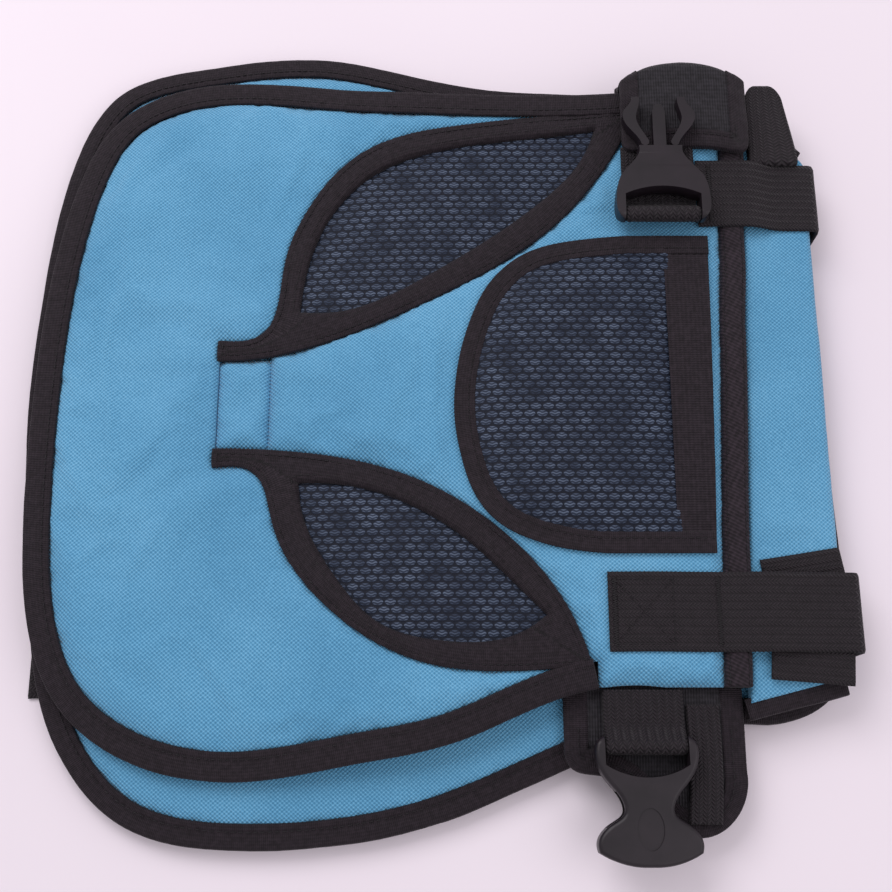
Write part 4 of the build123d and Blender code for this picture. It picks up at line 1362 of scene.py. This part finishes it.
def make_shoulder_webbings():
    """The two shoulder webbings, over the waist end and back under the carrier."""
    seams = []
    for which, seed in (("lower", 3.5), ("upper", 4.5)):
        node = "shoulder_webbing_" + which
        low, high = corners(node)
        places = cad_places(node)
        run_low, run_high = top_run(node)
        middle = (run_low[1] + run_high[1]) / 2
        over_band = places[places[:, 0] > high[0] - 12 * MM, 2].max() - WEBBING_THICK / 2
        tail = places[places[:, 0] < low[0] + 0.05 * MM, 1]
        tail_middle = (tail.min() + tail.max()) / 2
        top_z = high[2] - WEBBING_THICK / 2
        outer = high[0] - WEBBING_THICK / 2
        floor_z = WEBBING_THICK / 2
        knee = run_high[0]
        route = rounded_route(
            [(run_low[0], middle, top_z), (knee, middle, top_z),
             (knee + 12 * MM, middle, over_band), (outer, middle, over_band),
             (outer, middle, floor_z), (knee, middle, floor_z),
             (low[0], tail_middle, floor_z)], 4 * MM, 1.6 * MM)
        piece = webbing(node + "_strip", route, (0, 1, 0), run_high[1] - run_low[1], seed)
        strip = places_of(piece)
        strip[:, 2] = np.maximum(strip[:, 2], 0.0)
        move(piece, strip)
        piece_of(piece, CARRIER, "webbing", node)
        if which == "lower":
            seams += box_stitch(run_low[0] + 3 * MM, run_low[0] + 30 * MM, run_low[1] + BOX_INSET,
                                run_high[1] - BOX_INSET, high[2] + 0.1 * MM)
    stitched("shoulder_webbing_seams", seams, CARRIER, BOX_STITCH)
    make_bartacks()
    make_slack()
    make_spare()


def make_spare():
    """The lower webbing's spare length, folded in slanting layers on the waist-end band."""
    low, high = corners("shoulder_webbing_spare")
    run_low, run_high = top_run("shoulder_webbing_lower")
    width = run_high[1] - run_low[1]
    middle_x = (low[0] + high[0]) / 2
    for name, y, turn, z, seed, nodes in (
            ("upper", high[1] - width / 2 - 3.0 * MM, 9.0, low[2], 2.2, ["shoulder_webbing_spare"]),
            ("lower", low[1] + width / 2 + 1.7 * MM, -5.0, high[2] - WEBBING_THICK, 5.2, [])):
        ahead = np.array([math.cos(math.radians(turn)), math.sin(math.radians(turn)), 0])
        side = np.array([-ahead[1], ahead[0], 0])
        centre = np.array([middle_x, y, z + WEBBING_THICK / 2])
        reach = ahead * (high[0] - low[0]) / 2
        route = rounded_route([centre - reach, centre, centre + reach], 5 * MM, 1.5 * MM)
        piece = webbing("shoulder_webbing_spare_" + name, route, side, width, seed, 0.12 * MM)
        piece_of(piece, CARRIER, "webbing", *nodes)


def make_bartacks():
    """Dense satin bars where the webbings are sewn to the panel."""
    places = cad_places("webbing_bartacks")
    pitch = 0.55 * MM
    column = np.round(places[:, 0] / (6 * MM))
    upper = places[:, 1] > 0
    centres, directions = [], []
    for bar in sorted(set(zip(column, upper))):
        chosen = places[(column == bar[0]) & (upper == bar[1])]
        low, high = chosen.min(0), chosen.max(0)
        for index in range(int((high[1] - low[1]) / pitch)):
            centres.append(((low[0] + high[0]) / 2, low[1] + (index + 0.5) * pitch,
                            places[:, 2].max() - 0.1 * MM))
            directions.append((1.0, 0.25 if index % 2 else -0.25, 0.0))
    piece = capsules("webbing_bar_tacks", np.array(centres), np.array(directions), 2.6 * MM,
                     0.28 * MM)
    piece_of(piece, CARRIER, "thread", "webbing_bartacks")


def make_slack():
    """A slack fold of the upper webbing lying on the waist-end band."""
    low, high = corners("shoulder_webbing_slack")
    bend = (high[2] - low[2]) / 2 - WEBBING_THICK / 2
    middle_z = (low[2] + high[2]) / 2
    near = low[1] + bend + WEBBING_THICK / 2 - 3.5 * MM
    far = high[1] - bend - WEBBING_THICK / 2
    x = (low[0] + high[0]) / 2
    line = [(near + 12 * MM, middle_z - bend)]
    for centre, start in ((far, -90), (near, 90)):
        for turn in np.radians(np.linspace(start, start + 180, 9)):
            line.append((centre + bend * math.cos(turn), middle_z + bend * math.sin(turn)))
    line.append((near + 10 * MM, middle_z - bend))
    route = rounded_route([(x, y, z) for y, z in line], 0.5 * MM, 1.0 * MM)
    piece = webbing("shoulder_webbing_fold", route, (1, 0, 0), high[0] - low[0], 9.5, 0.3 * MM)
    places = places_of(piece)
    ahead = np.clip((places[:, 1] - high[1] + 10 * MM) / (10 * MM), 0, 1)
    toward = np.clip((high[1] - places[:, 1]) / (high[1] - low[1]), 0, 1)
    right = np.clip((places[:, 0] - x) / (high[0] - x), 0, 1)
    places[:, 0] = x + (places[:, 0] - x) * np.sqrt(1 - 0.85 * ahead ** 2)
    places[:, 0] += 7 * MM * toward * right
    move(piece, places)
    piece_of(piece, CARRIER, "webbing", "shoulder_webbing_slack")


def finish_buckle():
    """Moulded plastic on the CAD buckle, with softened edges."""
    for node in ("buckle_socket", "buckle_plug", "plug_arm_left", "plug_arm_right"):
        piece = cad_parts[node]
        piece.data.materials.clear()
        piece.data.materials.append(PLASTIC)
        weld = piece.modifiers.new("weld", "WELD")
        weld.merge_threshold = 0.01 * MM
        bevel = piece.modifiers.new("bevel", "BEVEL")
        bevel.width = 0.45 * MM
        bevel.segments = 3
        bevel.angle_limit = math.radians(40)
        bevel.harden_normals = False


def make_floor():
    """The plain pale table under the carrier."""
    half = FLOOR_SIZE / 2
    data = bpy.data.meshes.new("floor")
    data.from_pydata([(-half, -half, -GAP), (half, -half, -GAP), (half, half, -GAP),
                      (-half, half, -GAP)], [], [(0, 1, 2, 3)])
    data.materials.append(floor_finish())
    in_scene("floor", data)


bpy.context.scene.view_settings.view_transform = "Standard"
make_camera()
make_world()
make_light("key", (-0.55, 0.75, 1.15), 0.9, 11, (1.0, 0.97, 1.0))
make_light("fill", (0.9, -0.35, 1.2), 1.2, 5, (1.0, 0.96, 0.99))
make_floor()
make_panels()
make_back_binding()
make_front_binding()
make_windows()
make_pocket()
make_hem_and_band()
make_belt()
make_belt_webbings()
make_shoulder_webbings()
finish_buckle()
